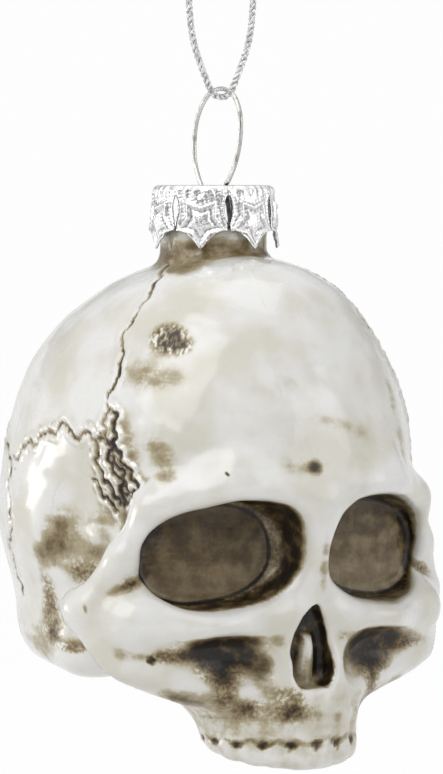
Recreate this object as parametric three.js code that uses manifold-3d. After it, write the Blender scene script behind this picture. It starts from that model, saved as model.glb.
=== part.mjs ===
// Glass skull ornament on a loop of cord. Millimetres, +Z up, the face looks along -Y.
// The origin is the knot of the cord, from which the ornament hangs.

import * as THREE from 'three';
import { mergeVertices } from 'three/addons/utils/BufferGeometryUtils.js';
import Module from 'manifold-3d';

const wasm = await Module();
wasm.setup();

// Driving sizes of the skull

const cranium_width = 49;
const cranium_length = 58.6;
const cranium_height = 55;
const glass_wall = 1;
const nape_wall = 1.6;
const socket_wall = 1.7;

// Neck, cap and hanger

const neck_diameter = 13.9;
const neck_rise = 8.1;
const neck_forward = 2.2;
const neck_fillet = 1.7;
const neck_gap = 0.3;
const cap_sheet = 0.45;
const cap_height = 8.2;
const cap_flare = 0.5;
const lobe_count = 7;
const slot_height = 3.6;
const slot_width = 1.2;
const slit_width = 0.4;
const scallop_height = 2.3;
const cap_turn = THREE.MathUtils.degToRad(23);
const star_points = 5;
const star_radius = 3.1;
const star_drop = 4.7;
const star_relief = 0.22;
const wire_diameter = 0.6;
const wire_hole_diameter = 1.4;
const wire_spacing = 6.3;
const eye_width = 12.4;
const eye_height = 12.7;
const eye_forward = 2;
const leg_length = 16;
const leg_splay = 15;

// Cord

const cord_diameter = 0.9;
const cord_gap = 0.35;
const cord_drop = 51;
const knot_diameter = 3.8;
const knot_tail = 6;

// Eye sockets, nose and teeth

const socket_width = 18.6;
const socket_height = 12.6;
const socket_turn = THREE.MathUtils.degToRad(9);
const socket_floor_turn = THREE.MathUtils.degToRad(15.7);
const socket_floor_round = 0.9;
const nose_height = 10.6;
const nose_width = 6.2;
const septum_width = 2.6;
const septum_recess = 1.1;
const nose_depth = 3.2;
const tooth_count = 10;
const tooth_height = 3.4;
const tooth_groove = 0.35;
const cut_overrun = 6;

const half = [cranium_width / 2, cranium_length / 2, cranium_height / 2];
const [half_width, half_length, half_height] = half;

// The skull's form, all as shares of the cranium's half width, half length and half height.
// Only the +X half is given, and the other mirrors it.

const braincase_shares = { centre: [0, 0.01, 0], radii: [1, 1, 1] };
const forehead_shares = { centre: [0, -0.328, 0.116], radii: [0.837, 0.659, 0.785], blend: 0.245 };
const nape_shares = { centre: [0, 0.177, -0.291], radii: [0.955, 0.785, 0.655], blend: 0.245 };
const crown_lean_shares = { from: 0.4, to: 0.873, forward: 0.099 };
const mastoid_shares = {
  from: [0.629, 0.324, -0.749], to: [0.694, 0, -0.822], radii: [0.261, 0.184], blend: 0.245,
};
const base_shares = { height: -1.004, blend: 0.163 };
const temple_shares = { centre: [1.208, -0.307, -0.262], radii: [0.318, 0.307, 0.4], blend: 0.3 };
const maxilla_shares = { centre: [0, -0.512, -0.8], radii: [0.612, 0.358, 0.4], blend: 0.163 };
const brow_shares = [
  { from: [0.041, -0.922, -0.087], to: [0.408, -0.877, -0.033], radii: [0.114, 0.102], blend: 0.188 },
  { from: [0.408, -0.877, -0.033], to: [0.771, -0.696, -0.131], radii: [0.102, 0.082], blend: 0.163 },
  { from: [0.771, -0.689, -0.131], to: [0.837, -0.614, -0.327], radii: [0.082, 0.086], blend: 0.163 },
];
const nose_ridge_shares = [
  { from: [0, -0.942, -0.145], to: [0, -0.908, -0.545], radii: [0.094, 0.065], blend: 0.098 },
  { from: [0.033, -0.887, -0.509], to: [0.159, -0.853, -0.945], radii: [0.073, 0.065], blend: 0.057 },
];
const lower_rim_shares = [
  { from: [0.184, -0.874, -0.611], to: [0.51, -0.816, -0.662], radii: [0.065, 0.082], blend: 0.09 },
  { from: [0.51, -0.816, -0.662], to: [0.837, -0.642, -0.647], radii: [0.082, 0.098], blend: 0.122 },
];
const cheek_hollow_shares = { centre: [0.506, -0.908, -0.822], radii: [0.261, 0.15, 0.12], blend: 0.061 };
const beside_nose_shares = { centre: [0.335, -0.956, -0.858], radii: [0.131, 0.123, 0.124], blend: 0.065 };
const under_cheek_shares = { centre: [0.837, -0.358, -1.145], radii: [0.343, 0.307, 0.251], blend: 0.098 };

// The face is a shield lofted through levels, from the forehead down to the palate
const shield_shares = [
  { height: 0.145, width: 0.743, front: 0.956, centre: 0.205, rear: 0.737 },
  { height: 0, width: 0.829, front: 0.997, centre: 0.205, rear: 0.655 },
  { height: -0.182, width: 0.89, front: 0.99, centre: 0.205, rear: 0.553 },
  { height: -0.364, width: 0.971, front: 0.962, centre: 0.205, rear: 0.464 },
  { height: -0.473, width: 1.045, front: 0.949, centre: 0.222, rear: 0.41 },
  { height: -0.582, width: 1.163, front: 0.928, centre: 0.239, rear: 0.341 },
  { height: -0.673, width: 1.18, front: 0.911, centre: 0.273, rear: 0.375 },
  { height: -0.764, width: 1.171, front: 0.884, centre: 0.307, rear: 0.437 },
  { height: -0.873, width: 1.118, front: 0.867, centre: 0.358, rear: 0.519 },
  { height: -0.964, width: 0.857, front: 0.867, centre: 0.427, rear: 0.601 },
  { height: -1.091, width: 0.408, front: 0.874, centre: 0.512, rear: 0.703 },
];
const shield_rear_lean = 1;
const shield_top_share = 0.044;
const shield_foot_share = -1.055;
const shield_blend_shares = { top: 0.245, foot: 0.122, rear: 0.163, skin: 0.3 };

const jaw_shares = {
  centre: [0, -0.635], radii: [0.412, 0.328], top: -0.8, foot: -1.335, front: -0.962, blend: 0.102,
  round: 0.082,
};
const jaw_rise = 0.2;

// Distance fields: negative inside

const at = shares => shares.map((share, i) => share * half[i]);

function ellipsoid(p, shares) {
  const centre = at(shares.centre);
  const radii = at(shares.radii);
  const unit = p.map((v, i) => (v - centre[i]) / radii[i]);
  const near = Math.hypot(...unit);
  const slope = Math.hypot(...unit.map((v, i) => v / radii[i]));
  return near * (near - 1) / Math.max(slope, Number.EPSILON);
}

function limb(p, shares) {
  const from = at(shares.from);
  const to = at(shares.to);
  const along = to.map((v, i) => v - from[i]);
  const away = p.map((v, i) => v - from[i]);
  const dot = along.reduce((sum, v, i) => sum + v * away[i], 0);
  const share = THREE.MathUtils.clamp(dot / along.reduce((sum, v) => sum + v * v, 0), 0, 1);
  const gap = Math.hypot(...away.map((v, i) => v - share * along[i]));
  return gap - half_width * THREE.MathUtils.lerp(shares.radii[0], shares.radii[1], share);
}

function join(a, b, blend) {
  const near = Math.max(blend - Math.abs(a - b), 0) / blend;
  return Math.min(a, b) - near * near * blend / 4;
}

const trim = (a, b, blend) => -join(-a, -b, blend);
const carve = (a, b, blend) => -join(-a, b, blend);

// One value of the shield at a height, on a smooth curve through its levels
function shield_share(name, height_share) {
  const last = shield_shares.length - 1;
  const height = THREE.MathUtils.clamp(height_share, shield_shares[last].height, shield_shares[0].height);
  let i = shield_shares.findIndex(level => level.height < height) - 1;
  if (i < 0) i = height === shield_shares[0].height ? 0 : last - 1;
  const [a, b] = [shield_shares[i], shield_shares[i + 1]];
  const [before, after] = [shield_shares[Math.max(i - 1, 0)], shield_shares[Math.min(i + 2, last)]];
  const span = b.height - a.height;
  const t = (height - a.height) / span;
  const slope_a = (b[name] - before[name]) / (b.height - before.height) * span;
  const slope_b = (after[name] - a[name]) / (after.height - a.height) * span;
  const rise = b[name] - a[name];
  const bend = slope_a + slope_b - 2 * rise;
  return a[name] + t * (slope_a + t * (rise - slope_a - bend + t * bend));
}

function oval(x, y, width, length) {
  const near = Math.hypot(x / width, y / length) + Number.EPSILON;
  return near * (near - 1) / Math.hypot(x / width ** 2, y / length ** 2);
}

function face_shield([x, y, z]) {
  const height = z / half_height;
  const width = shield_share('width', height) * half_width;
  const centre = shield_share('centre', height) * half_length;
  const front = shield_share('front', height) * half_length;
  const rear = shield_share('rear', height) * half_length;
  const blend = shield_blend_shares;
  let d = oval(x, y + centre, width, front - centre);
  const beyond = (y + rear + shield_rear_lean * (x - width)) / Math.hypot(1, shield_rear_lean);
  d = trim(d, beyond, blend.rear * half_width);
  d = trim(d, z - shield_top_share * half_height, blend.top * half_width);
  return trim(d, shield_foot_share * half_height - z, blend.foot * half_width);
}

function upper_jaw([x, y, z]) {
  const [width, length] = [jaw_shares.radii[0] * half_width, jaw_shares.radii[1] * half_length];
  const round = jaw_shares.round * half_width;
  const back = Math.max(y - jaw_shares.front * half_length, 0);
  const foot = jaw_shares.foot * half_height + jaw_rise * back;
  const d = oval(x, y - jaw_shares.centre[1] * half_length, width, length);
  return trim(trim(d, z - jaw_shares.top * half_height, round), foot - z, round);
}

// The whole outer form, before the sockets, nose and teeth are cut
function skull_form([x_signed, y, z]) {
  const p = [Math.abs(x_signed), y, z];
  const lean = crown_lean_shares;
  const risen = Math.max(z / half_height - lean.from, 0) / (lean.to - lean.from);
  const crown = p.with(1, y + lean.forward * half_length * risen ** 2);
  const add = (d, shape, shares) => join(d, shape(p, shares), shares.blend * half_width);
  let d = ellipsoid(crown, braincase_shares);
  d = join(d, ellipsoid(crown, forehead_shares), forehead_shares.blend * half_width);
  d = add(d, ellipsoid, nape_shares);
  d = add(d, limb, mastoid_shares);
  d = trim(d, base_shares.height * half_height - z, base_shares.blend * half_width);
  d = carve(d, ellipsoid(p, temple_shares), temple_shares.blend * half_width);
  d = join(d, face_shield(p), shield_blend_shares.skin * half_width);
  d = add(d, ellipsoid, maxilla_shares);
  d = join(d, upper_jaw(p), jaw_shares.blend * half_width);
  for (const bone of [...brow_shares, ...nose_ridge_shares, ...lower_rim_shares]) d = add(d, limb, bone);
  for (const hollow of [cheek_hollow_shares, beside_nose_shares, under_cheek_shares]) {
    d = carve(d, ellipsoid(p, hollow), hollow.blend * half_width);
  }
  return d;
}

// The sockets and the nose, as the inside of the glass has to go round them

const socket_centre_shares = [0.466, -0.683, -0.344];
const nose_top_share = -0.567;
const nose_floor_share = -0.8;
const nose_room_shares = [0.8, 0.64];
const inner_blend_share = 0.2;
const socket_corner_power = 3;

function socket_room([x, y, z]) {
  const centre = at(socket_centre_shares);
  const [dx, dz] = [x - centre[0], z - centre[2]];
  const across = dx * Math.cos(socket_turn) - dz * Math.sin(socket_turn);
  const up = dx * Math.sin(socket_turn) + dz * Math.cos(socket_turn);
  const floor = y - centre[1] - dx * Math.tan(socket_floor_turn);
  const power = socket_corner_power;
  const unit = [2 * across / socket_width, 2 * up / socket_height];
  const near = unit.reduce((sum, v) => sum + Math.abs(v) ** power, 0) ** (1 / power);
  return Math.max((near - 1) * socket_height / 2, floor);
}

function nose_room([x, y, z]) {
  const middle = nose_top_share * half_height - nose_height / 2;
  const floor = y - nose_floor_share * half_length + nose_lean_share * (z - middle);
  const [width, height] = [nose_room_shares[0] * nose_width, nose_room_shares[1] * nose_height];
  return Math.max(oval(x, z - middle, width, height), floor);
}

// The glass thickens towards the nape, which brings the skull's weight under its hanger
function wall_at(y) {
  const share = THREE.MathUtils.smoothstep(y, -half_length, half_length);
  return THREE.MathUtils.lerp(glass_wall, nape_wall, share);
}

function inner_form([x_signed, y, z]) {
  const p = [Math.abs(x_signed), y, z];
  const rooms = join(socket_room(p), nose_room(p), inner_blend_share * half_width);
  return carve(skull_form(p) + wall_at(y), rooms - socket_wall, inner_blend_share * half_width);
}

// A box blown up until it lies on a form: each corner moves in along its own line until it meets
// the form, then the mesh is evened out on it, finer on the face.

const start_shares = [1.5, 1.5, 1.75];
const core_shares = [0.55, 0, 0.6];
const middle_shares = [0, -0.12, -0.16];
const outer_faces = 22;
const inner_faces = 12;
const even_rounds = 24;
const march_steps = 90;
const march_share = 0.8;
const weld_share = 0.1;
const slope_step_share = 0.001;
const least_slope = 0.25;
const face_edge_share = 0.5;
const face_fade_share = 0.25;
const fine_face_share = 0.42;

function blow(form, faces_across) {
  const box = new THREE.BoxGeometry(1, 1, 1, faces_across, faces_across, faces_across);
  box.deleteAttribute('normal');
  box.deleteAttribute('uv');
  const geometry = mergeVertices(box, weld_share / faces_across);
  const place = geometry.attributes.position;
  const [start, core, middle] = [start_shares, core_shares, middle_shares].map(at);
  const points = [];
  for (let i = 0; i < place.count; i++) {
    const square = [place.getX(i), place.getY(i), place.getZ(i)].map(v => Math.tan(v * Math.PI / 2));
    const size = Math.hypot(...square);
    const unit = square.map(v => v / size);
    const from = unit.map((v, k) => middle[k] + v * start[k]);
    const to = unit.map((v, k) => middle[k] + v * core[k]);
    const length = Math.hypot(...to.map((v, k) => v - from[k]));
    let share = 0;
    for (let step = 0; step < march_steps; step++) {
      const p = from.map((v, k) => v + share * (to[k] - v));
      share = Math.min(share + march_share * form(p) / length, 1);
    }
    points.push(from.map((v, k) => v + share * (to[k] - v)));
  }
  even_out(points, geometry.index, form);
  points.forEach((p, i) => place.setXYZ(i, ...p));
  return geometry;
}

function settle(form, p) {
  const step = slope_step_share * half_width;
  const d = form(p);
  const slope = p.map((v, k) => (form(p.with(k, v + step)) - d) / step);
  const steep = Math.max(slope.reduce((sum, v) => sum + v * v, 0), least_slope);
  return p.map((v, k) => v - d * slope[k] / steep);
}

function even_out(points, index, form) {
  const near = points.map(() => new Set());
  for (let i = 0; i < index.count; i += 3) {
    const [a, b, c] = [0, 1, 2].map(k => index.getX(i + k));
    const sides = (i / 3) % 2 ? [[a, b], [b, c]] : [[a, b], [c, a]];
    for (const [from, to] of sides) {
      near[from].add(to);
      near[to].add(from);
    }
  }
  const face = -face_edge_share * half_length;
  const fade = face_fade_share * half_length;
  for (let round = 0; round < even_rounds; round++) {
    const pull = points.map(p => 1 / THREE.MathUtils.lerp(
      1, fine_face_share, THREE.MathUtils.smoothstep(face - p[1], -fade, fade)));
    const moved = points.map((p, i) => {
      const sum = [0, 0, 0];
      let weight = 0;
      for (const j of near[i]) {
        const stretch = pull[j] * Math.hypot(...p.map((v, k) => v - points[j][k]));
        weight += stretch;
        sum.forEach((_, k) => { sum[k] += stretch * points[j][k]; });
      }
      return settle(form, p.map((v, k) => (v + sum[k] / weight) / 2));
    });
    moved.forEach((p, i) => { points[i] = settle(form, p); });
  }
}

// Solids and meshes

const weld_gap_share = 0.00001;

function solid(geometry) {
  const bare = geometry.clone();
  bare.deleteAttribute('normal');
  bare.deleteAttribute('uv');
  const merged = mergeVertices(bare, weld_gap_share * cord_diameter);
  return new wasm.Manifold(new wasm.Mesh({
    numProp: 3,
    vertProperties: new Float32Array(merged.attributes.position.array),
    triVerts: new Uint32Array(merged.index.array),
  }));
}

function to_geometry(manifold) {
  const mesh = manifold.getMesh();
  const geometry = new THREE.BufferGeometry();
  geometry.setAttribute('position', new THREE.BufferAttribute(mesh.vertProperties, 3));
  geometry.setIndex(new THREE.BufferAttribute(mesh.triVerts, 1));
  return geometry;
}

function named_mesh(name, geometry, color, roughness, metalness) {
  const mesh = new THREE.Mesh(geometry, new THREE.MeshStandardMaterial({ color, roughness, metalness }));
  mesh.name = name;
  return mesh;
}

function tube(curve, diameter, steps, sides) {
  const section = new THREE.Shape();
  for (let i = 0; i <= sides; i++) {
    const turn = 2 * Math.PI * (i + 0.5) / sides;
    const [x, y] = [Math.cos(turn), Math.sin(turn)].map(v => v * diameter / 2);
    if (i === 0) section.moveTo(x, y);
    else section.lineTo(x, y);
  }
  return new THREE.ExtrudeGeometry(section, { steps, bevelEnabled: false, extrudePath: curve });
}

// Eye sockets: a rounded outline, drawn straight back, on a floor that turns outwards

const socket_outline_shares = [
  [-1, -0.1], [-0.97, 0.6], [-0.6, 0.96], [0.05, 1], [0.58, 0.98], [0.93, 0.5],
  [1, -0.32], [0.78, -0.86], [0.2, -1], [-0.45, -0.98], [-0.9, -0.72],
];
const socket_taper_share = 0.9;
const cut_reach = half_length / 3 + cut_overrun;
const outline_steps = 26;

function closed_shape(shares, width, height) {
  const points = shares.map(([x, y]) => new THREE.Vector3(x * width / 2, y * height / 2, 0));
  const curve = new THREE.CatmullRomCurve3(points, true);
  const shape = new THREE.Shape();
  curve.getPoints(outline_steps).slice(0, -1).forEach((p, i) => {
    if (i === 0) shape.moveTo(p.x, p.y);
    else shape.lineTo(p.x, p.y);
  });
  shape.closePath();
  return shape;
}

// Draws a shape, seen from the front, from a floor at Y = 0 out towards -Y
function drawn_forward(shape, reach, round) {
  const geometry = new THREE.ExtrudeGeometry(shape, {
    depth: reach, bevelEnabled: round > 0, bevelThickness: round, bevelSize: round,
    bevelOffset: -round, bevelSegments: 1,
  });
  geometry.translate(0, 0, round);
  return geometry.rotateX(Math.PI / 2);
}

function socket_cutter(side) {
  const outline = closed_shape(socket_outline_shares, socket_width, socket_height);
  const geometry = drawn_forward(outline, cut_reach, socket_floor_round);
  const place = geometry.attributes.position;
  for (let i = 0; i < place.count; i++) {
    const [x, y, z] = [place.getX(i), place.getY(i), place.getZ(i)];
    const spread = THREE.MathUtils.lerp(socket_taper_share, 1, Math.min(-2 * y / cut_reach, 1));
    place.setXYZ(i, x * spread, y + x * Math.tan(socket_floor_turn), z * spread);
  }
  geometry.rotateY(socket_turn);
  geometry.translate(...at(socket_centre_shares));
  const cutter = solid(geometry);
  return side > 0 ? cutter : cutter.mirror([1, 0, 0]);
}

// Nose: a pear-shaped hollow, with a deeper slot on each side of the bone in its middle

const nose_outline_shares = [
  [0, 1], [0.42, 0.74], [0.74, 0.15], [0.96, -0.5], [0.8, -1], [0, -0.95],
  [-0.8, -1], [-0.96, -0.5], [-0.74, 0.15], [-0.42, 0.74],
];
const septum_outline_shares = [[0, 1], [0.5, 0], [1, -1], [0, -1.4], [-1, -1], [-0.5, 0]];
const septum_top_share = 0.66;
const nose_lean_share = 0.16;

function nose_cutter() {
  const pear = closed_shape(nose_outline_shares, nose_width, nose_height);
  const lean = new THREE.Matrix4().makeShear(0, 0, 0, 0, 0, -nose_lean_share);
  const septum = closed_shape(septum_outline_shares, septum_width, nose_height * septum_top_share);
  const drop = nose_height * (1 - septum_top_share) / 2;
  const hollow = drawn_forward(pear, cut_reach, 0);
  const mouth = hollow.clone().translate(0, septum_recess - nose_depth, 0);
  const bone = drawn_forward(septum, 2 * cut_reach, 0).translate(0, cut_reach / 2, -drop);
  const [hollow_cut, mouth_cut, bone_cut] = [hollow, mouth, bone].map(v => solid(v.applyMatrix4(lean)));
  const slots = hollow_cut.subtract(bone_cut);
  const middle = nose_top_share * half_height - nose_height / 2;
  return slots.add(mouth_cut).translate(0, nose_floor_share * half_length, middle);
}

// Teeth: one groove along the gums and one between each pair of teeth

function jaw_outline(grow) {
  const [width, length] = [jaw_shares.radii[0] * half_width, jaw_shares.radii[1] * half_length];
  const shape = new THREE.Shape();
  shape.absellipse(0, 0, width + grow, length + grow, 0, 2 * Math.PI, false, 0);
  return shape;
}

function tooth_cutter() {
  const foot = jaw_shares.foot * half_height;
  const middle = jaw_shares.centre[1] * half_length;
  const [width, length] = [jaw_shares.radii[0] * half_width, jaw_shares.radii[1] * half_length];
  const ring = jaw_outline(cut_overrun);
  ring.holes.push(new THREE.Path(jaw_outline(-tooth_groove).getPoints(outline_steps / 2)));
  const gum_line = new THREE.ExtrudeGeometry(ring, {
    depth: tooth_groove, bevelEnabled: false, curveSegments: outline_steps / 2,
  });
  gum_line.translate(0, middle, foot + tooth_height);
  const cuts = [];
  const step = Math.PI / (tooth_count + 1);
  for (let i = 0; i <= tooth_count; i++) {
    const turn = Math.PI + step * (i + 0.5);
    const groove = new THREE.CylinderGeometry(tooth_groove, tooth_groove, tooth_height + cut_overrun, 6);
    groove.rotateX(Math.PI / 2);
    groove.translate(
      Math.cos(turn) * width, middle + Math.sin(turn) * length, foot + (tooth_height - cut_overrun) / 2);
    cuts.push(solid(groove));
  }
  const front = new THREE.BoxGeometry(2 * half_width, half_length, half_height);
  front.translate(0, middle - half_length / 2, foot);
  const teeth = wasm.Manifold.union([solid(gum_line).intersect(solid(front)), ...cuts]);
  return teeth.warp(place => {
    place[2] += jaw_rise * Math.max(place[1] - jaw_shares.front * half_length, 0);
  });
}

// Neck: a short tube that flares into the crown of the skull

const crown_height = half_height;
const lip_height = crown_height + neck_rise;
const neck_sides = 48;
const neck_root_share = 1.35;

function turned(profile, sides) {
  const points = profile.map(([radius, height]) => new THREE.Vector2(radius, height));
  return new THREE.LatheGeometry(points, sides).rotateX(Math.PI / 2);
}

function neck_solid() {
  const radius = neck_diameter / 2;
  const root = crown_height - neck_fillet * neck_root_share;
  const flare = [];
  const flare_steps = 5;
  for (let i = 0; i <= flare_steps; i++) {
    const turn = Math.PI / 2 * i / flare_steps;
    flare.push([radius + neck_fillet * (1 - Math.sin(turn)), root + neck_fillet * (1 - Math.cos(turn))]);
  }
  const profile = [
    [0, root - cut_overrun / 2], [radius, root - cut_overrun / 2], ...flare,
    [radius, lip_height], [0, lip_height],
  ];
  return solid(turned(profile, neck_sides));
}

function skull_shell() {
  const bore = neck_diameter / 2 - glass_wall;
  const throat = solid(turned([
    [0, crown_height - cut_overrun], [bore, crown_height - cut_overrun],
    [bore, lip_height + cut_overrun], [0, lip_height + cut_overrun],
  ], neck_sides)).translate(0, -neck_forward, 0);
  const shell = solid(blow(skull_form, outer_faces))
    .subtract(socket_cutter(1))
    .subtract(socket_cutter(-1))
    .subtract(nose_cutter())
    .subtract(tooth_cutter())
    .add(neck_solid().translate(0, -neck_forward, 0))
    .subtract(solid(blow(inner_form, inner_faces)))
    .subtract(throat);
  return named_mesh('skull_shell', to_geometry(shell), 0xdedbd3, 0.22, 0);
}

// Cap: a pressed cup whose edge is cut into lobes, each with a pointed foot

const cap_inside = neck_diameter / 2 + neck_gap;
const disc_height = lip_height + neck_gap;
const cap_levels = 4;
const cap_sides_per_lobe = 7;
const cap_crease_share = 0.5;
const cap_crease_foot_share = 0.77;

function cap_radius(turn, depth_share) {
  const lobe = Math.abs(Math.cos(turn * lobe_count / 2));
  const flare = cap_flare * depth_share ** 2;
  const fold = Math.sin(Math.PI * Math.min(depth_share / cap_crease_foot_share, 1));
  const crease = cap_crease_share * cap_flare * lobe * fold;
  return flare + crease;
}

function cap_cup() {
  const outside = cap_inside + cap_sheet;
  const top = disc_height + cap_sheet;
  const foot = top - cap_height;
  const wall = Array.from({ length: cap_levels }, (_, i) => i / (cap_levels - 1));
  const outer = wall.map(share => [outside, THREE.MathUtils.lerp(top - cap_sheet, foot, share)]);
  const inner = wall.map(share => [cap_inside, THREE.MathUtils.lerp(disc_height, foot, share)]).reverse();
  const profile = [[0, top], [outside - cap_sheet / 2, top], ...outer, ...inner, [0, disc_height]].reverse();
  const geometry = turned(profile, lobe_count * cap_sides_per_lobe);
  const place = geometry.attributes.position;
  for (let i = 0; i < place.count; i++) {
    const [x, y, z] = [place.getX(i), place.getY(i), place.getZ(i)];
    const radius = Math.hypot(x, y);
    if (radius < cap_inside - cap_sheet || z >= disc_height) continue;
    const turn = Math.atan2(y, x) - cap_turn;
    const grown = 1 + cap_radius(turn, (disc_height - z) / (disc_height - foot)) / radius;
    place.setXYZ(i, x * grown, y * grown, z);
  }
  return solid(geometry);
}

const slot_outline_shares = [[0, 1], [0.55, 0.82], [0.95, 0.3], [0.9, -0.2], [0.55, -0.75]];
const slot_middle_share = 0.76;
const slit_foot_share = 0.17;
const scallop_outline_shares = [
  [0, 1.08], [0.083, 1], [0.2, 0.88], [0.31, 0.68], [0.4, 0.36], [0.46, 0.09], [0.5, 0],
];

function mirrored_shape(points) {
  const all = [...points.slice(1).map(([x, y]) => new THREE.Vector2(-x, y)).reverse(),
    ...points.map(([x, y]) => new THREE.Vector2(x, y))];
  return new THREE.Shape(all);
}

// A tall slot between two lobes, which closes to a slit below
function slot_shape() {
  const outline = slot_outline_shares.map(([x, y]) => [x * slot_width / 2, y * slot_height / 2]);
  const slit_foot = -slot_height / 2 - slit_foot_share * cap_height;
  return mirrored_shape([...outline, [slit_width / 2, -slot_height / 2], [slit_width / 2, slit_foot]]);
}

// What is cut away below two neighbouring lobes, between the points of their stars
function scallop_shape() {
  const pitch = 2 * Math.PI * (cap_inside + cap_sheet + cap_flare) / lobe_count;
  const outline = scallop_outline_shares.map(([x, y]) => [x * pitch, y * scallop_height]);
  return mirrored_shape([...outline, [pitch / 2, -cut_overrun]]);
}

const star_notch_share = 0.6;

// A star pressed out of the middle of a lobe, one point down, bent round with the wall
function star(turn) {
  const geometry = new THREE.CylinderGeometry(
    star_radius, star_radius, star_relief + cap_sheet / 2, 2 * star_points);
  const place = geometry.attributes.position;
  const top = disc_height + cap_sheet;
  for (let i = 0; i < place.count; i++) {
    const [x, y, z] = [place.getX(i), place.getY(i), place.getZ(i)];
    const corner = Math.round(Math.atan2(x, z) * star_points / Math.PI);
    const scale = corner % 2 === 0 ? 1 : star_notch_share;
    const [across, down] = [x * scale, star_drop + z * scale];
    const out = y > 0 ? star_relief : -cap_sheet / 2;
    const radius = cap_inside + cap_sheet + out;
    const grown = radius + cap_radius(across / radius, (down - cap_sheet) / (cap_height - cap_sheet));
    const angle = turn + across / radius;
    place.setXYZ(i, grown * Math.cos(angle), grown * Math.sin(angle), top - down);
  }
  return solid(geometry);
}

function ornament_cap() {
  const top = disc_height + cap_sheet;
  const foot = top - cap_height;
  const cuts = [];
  for (let i = 0; i < lobe_count; i++) {
    const turn = cap_turn + 2 * Math.PI * (i + 0.5) / lobe_count;
    for (const [shape, height] of [
      [slot_shape(), disc_height - slot_middle_share * slot_height],
      [scallop_shape(), foot],
    ]) {
      const cutter = new THREE.ExtrudeGeometry(shape, { depth: neck_diameter, bevelEnabled: false });
      cutter.rotateX(Math.PI / 2).rotateZ(Math.PI / 2 + turn).translate(0, 0, height);
      cuts.push(solid(cutter));
    }
  }
  for (const side of [-1, 1]) {
    const hole = new THREE.CylinderGeometry(
      wire_hole_diameter / 2, wire_hole_diameter / 2, cap_height / 2, 12);
    hole.rotateX(Math.PI / 2).translate(0, side * wire_spacing / 2, disc_height);
    cuts.push(solid(hole));
  }
  const stars = Array.from({ length: lobe_count }, (_, i) => star(cap_turn + 2 * Math.PI * i / lobe_count));
  const cap = cap_cup().subtract(wasm.Manifold.union(cuts)).add(wasm.Manifold.union(stars));
  return named_mesh('ornament_cap', to_geometry(cap), 0xd5d6d8, 0.25, 1);
}

// Hanger: one spring wire, an eye above the cap and two legs that spread inside the glass

const wire_radius = wire_diameter / 2;
const eye_top = disc_height + cap_sheet + eye_height - wire_radius;
const eye_side_shares = [[0, 0], [0.56, 0.07], [0.91, 0.26], [1, 0.5], [0.9, 0.73], [0.67, 0.91]];
const leg_bend_share = 0.85;
const wire_steps = 56;

function hanger_wire() {
  const cap_top = disc_height + cap_sheet;
  const bore = neck_diameter / 2 - glass_wall - neck_gap - wire_radius;
  const reach = eye_width / 2 - wire_radius;
  const side = [
    ...eye_side_shares.map(([out, down]) => [out * reach, eye_top - down * eye_height]),
    [wire_spacing / 2, cap_top],
    [wire_spacing / 2, disc_height - neck_gap],
    [(wire_spacing / 2 + bore) / 2, disc_height - neck_rise / 2],
    [bore, crown_height - nape_wall - 2 * neck_gap - wire_diameter],
    [leg_splay / 2 - wire_diameter, cap_top - leg_bend_share * leg_length],
    [leg_splay / 2, cap_top - leg_length],
  ];
  const points = [...side.slice(1).reverse().map(([y, z]) => [-y, z]), ...side].map(([y, z]) => {
    const lean = eye_forward * Math.max(z - cap_top, 0) / (eye_top - cap_top);
    return new THREE.Vector3(0, y - lean, z);
  });
  const curve = new THREE.CatmullRomCurve3(points, false, 'centripetal');
  return named_mesh('hanger_wire', tube(curve, wire_diameter, wire_steps, 8), 0x8e8f92, 0.3, 1);
}

// Cord: down from the knot on one side, under the top of the eye, and up on the other

const bend_height = eye_top - wire_radius - cord_gap - cord_diameter / 2;
const cord_steps = 52;
const strand_route_shares = [
  [0.0122, 0.0022], [0.0235, 0.009], [0.0314, 0.019], [0.0382, 0.0333], [0.049, 0.0578], [0.0598, 0.0824],
  [0.0706, 0.1098], [0.0804, 0.1412], [0.0873, 0.1765], [0.0912, 0.2157], [0.0931, 0.2549],
  [0.0882, 0.3725], [0.0725, 0.5294], [0.051, 0.6863], [0.0275, 0.8235], [0.0157, 0.902],
];

function cord_loop() {
  const strand_end = knot_diameter / 2 + cord_gap;
  const last = [(cord_diameter + cord_gap) / 2, cord_drop - strand_end];
  const right = [...strand_route_shares.map(pair => pair.map(share => share * cord_drop)), last];
  const points = [...right.map(([x, z]) => [-x, z]).reverse(), [0, 0], ...right];
  const curve = new THREE.CatmullRomCurve3(points.map(([x, z]) => new THREE.Vector3(x, 0, z - cord_drop)));
  return named_mesh('cord_loop', tube(curve, cord_diameter, cord_steps, 8), 0xc9cacc, 0.45, 0.4);
}

function cord_knot() {
  const ball = new THREE.SphereGeometry(knot_diameter / 2, 12, 8);
  const tails = [-1, 1].map(side => {
    const curve = new THREE.CatmullRomCurve3([
      new THREE.Vector3(0, 0, 0),
      new THREE.Vector3(side * cord_diameter, 0, knot_diameter / 2),
      new THREE.Vector3(side * cord_diameter * 2, 0, knot_diameter / 2 + knot_tail),
    ]);
    return solid(tube(curve, cord_diameter, 5, 8));
  });
  const knot = wasm.Manifold.union([solid(ball), ...tails]);
  return named_mesh('cord_knot', to_geometry(knot), 0xc9cacc, 0.45, 0.4);
}

const group = new THREE.Group();
const ornament = new THREE.Group();
ornament.position.set(0, eye_forward, -cord_drop - bend_height);
const skull = new THREE.Group();
skull.position.set(0, neck_forward, 0);
skull.add(skull_shell());
ornament.add(skull, ornament_cap(), hanger_wire());
group.add(ornament, cord_loop(), cord_knot());

export default group;
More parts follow.
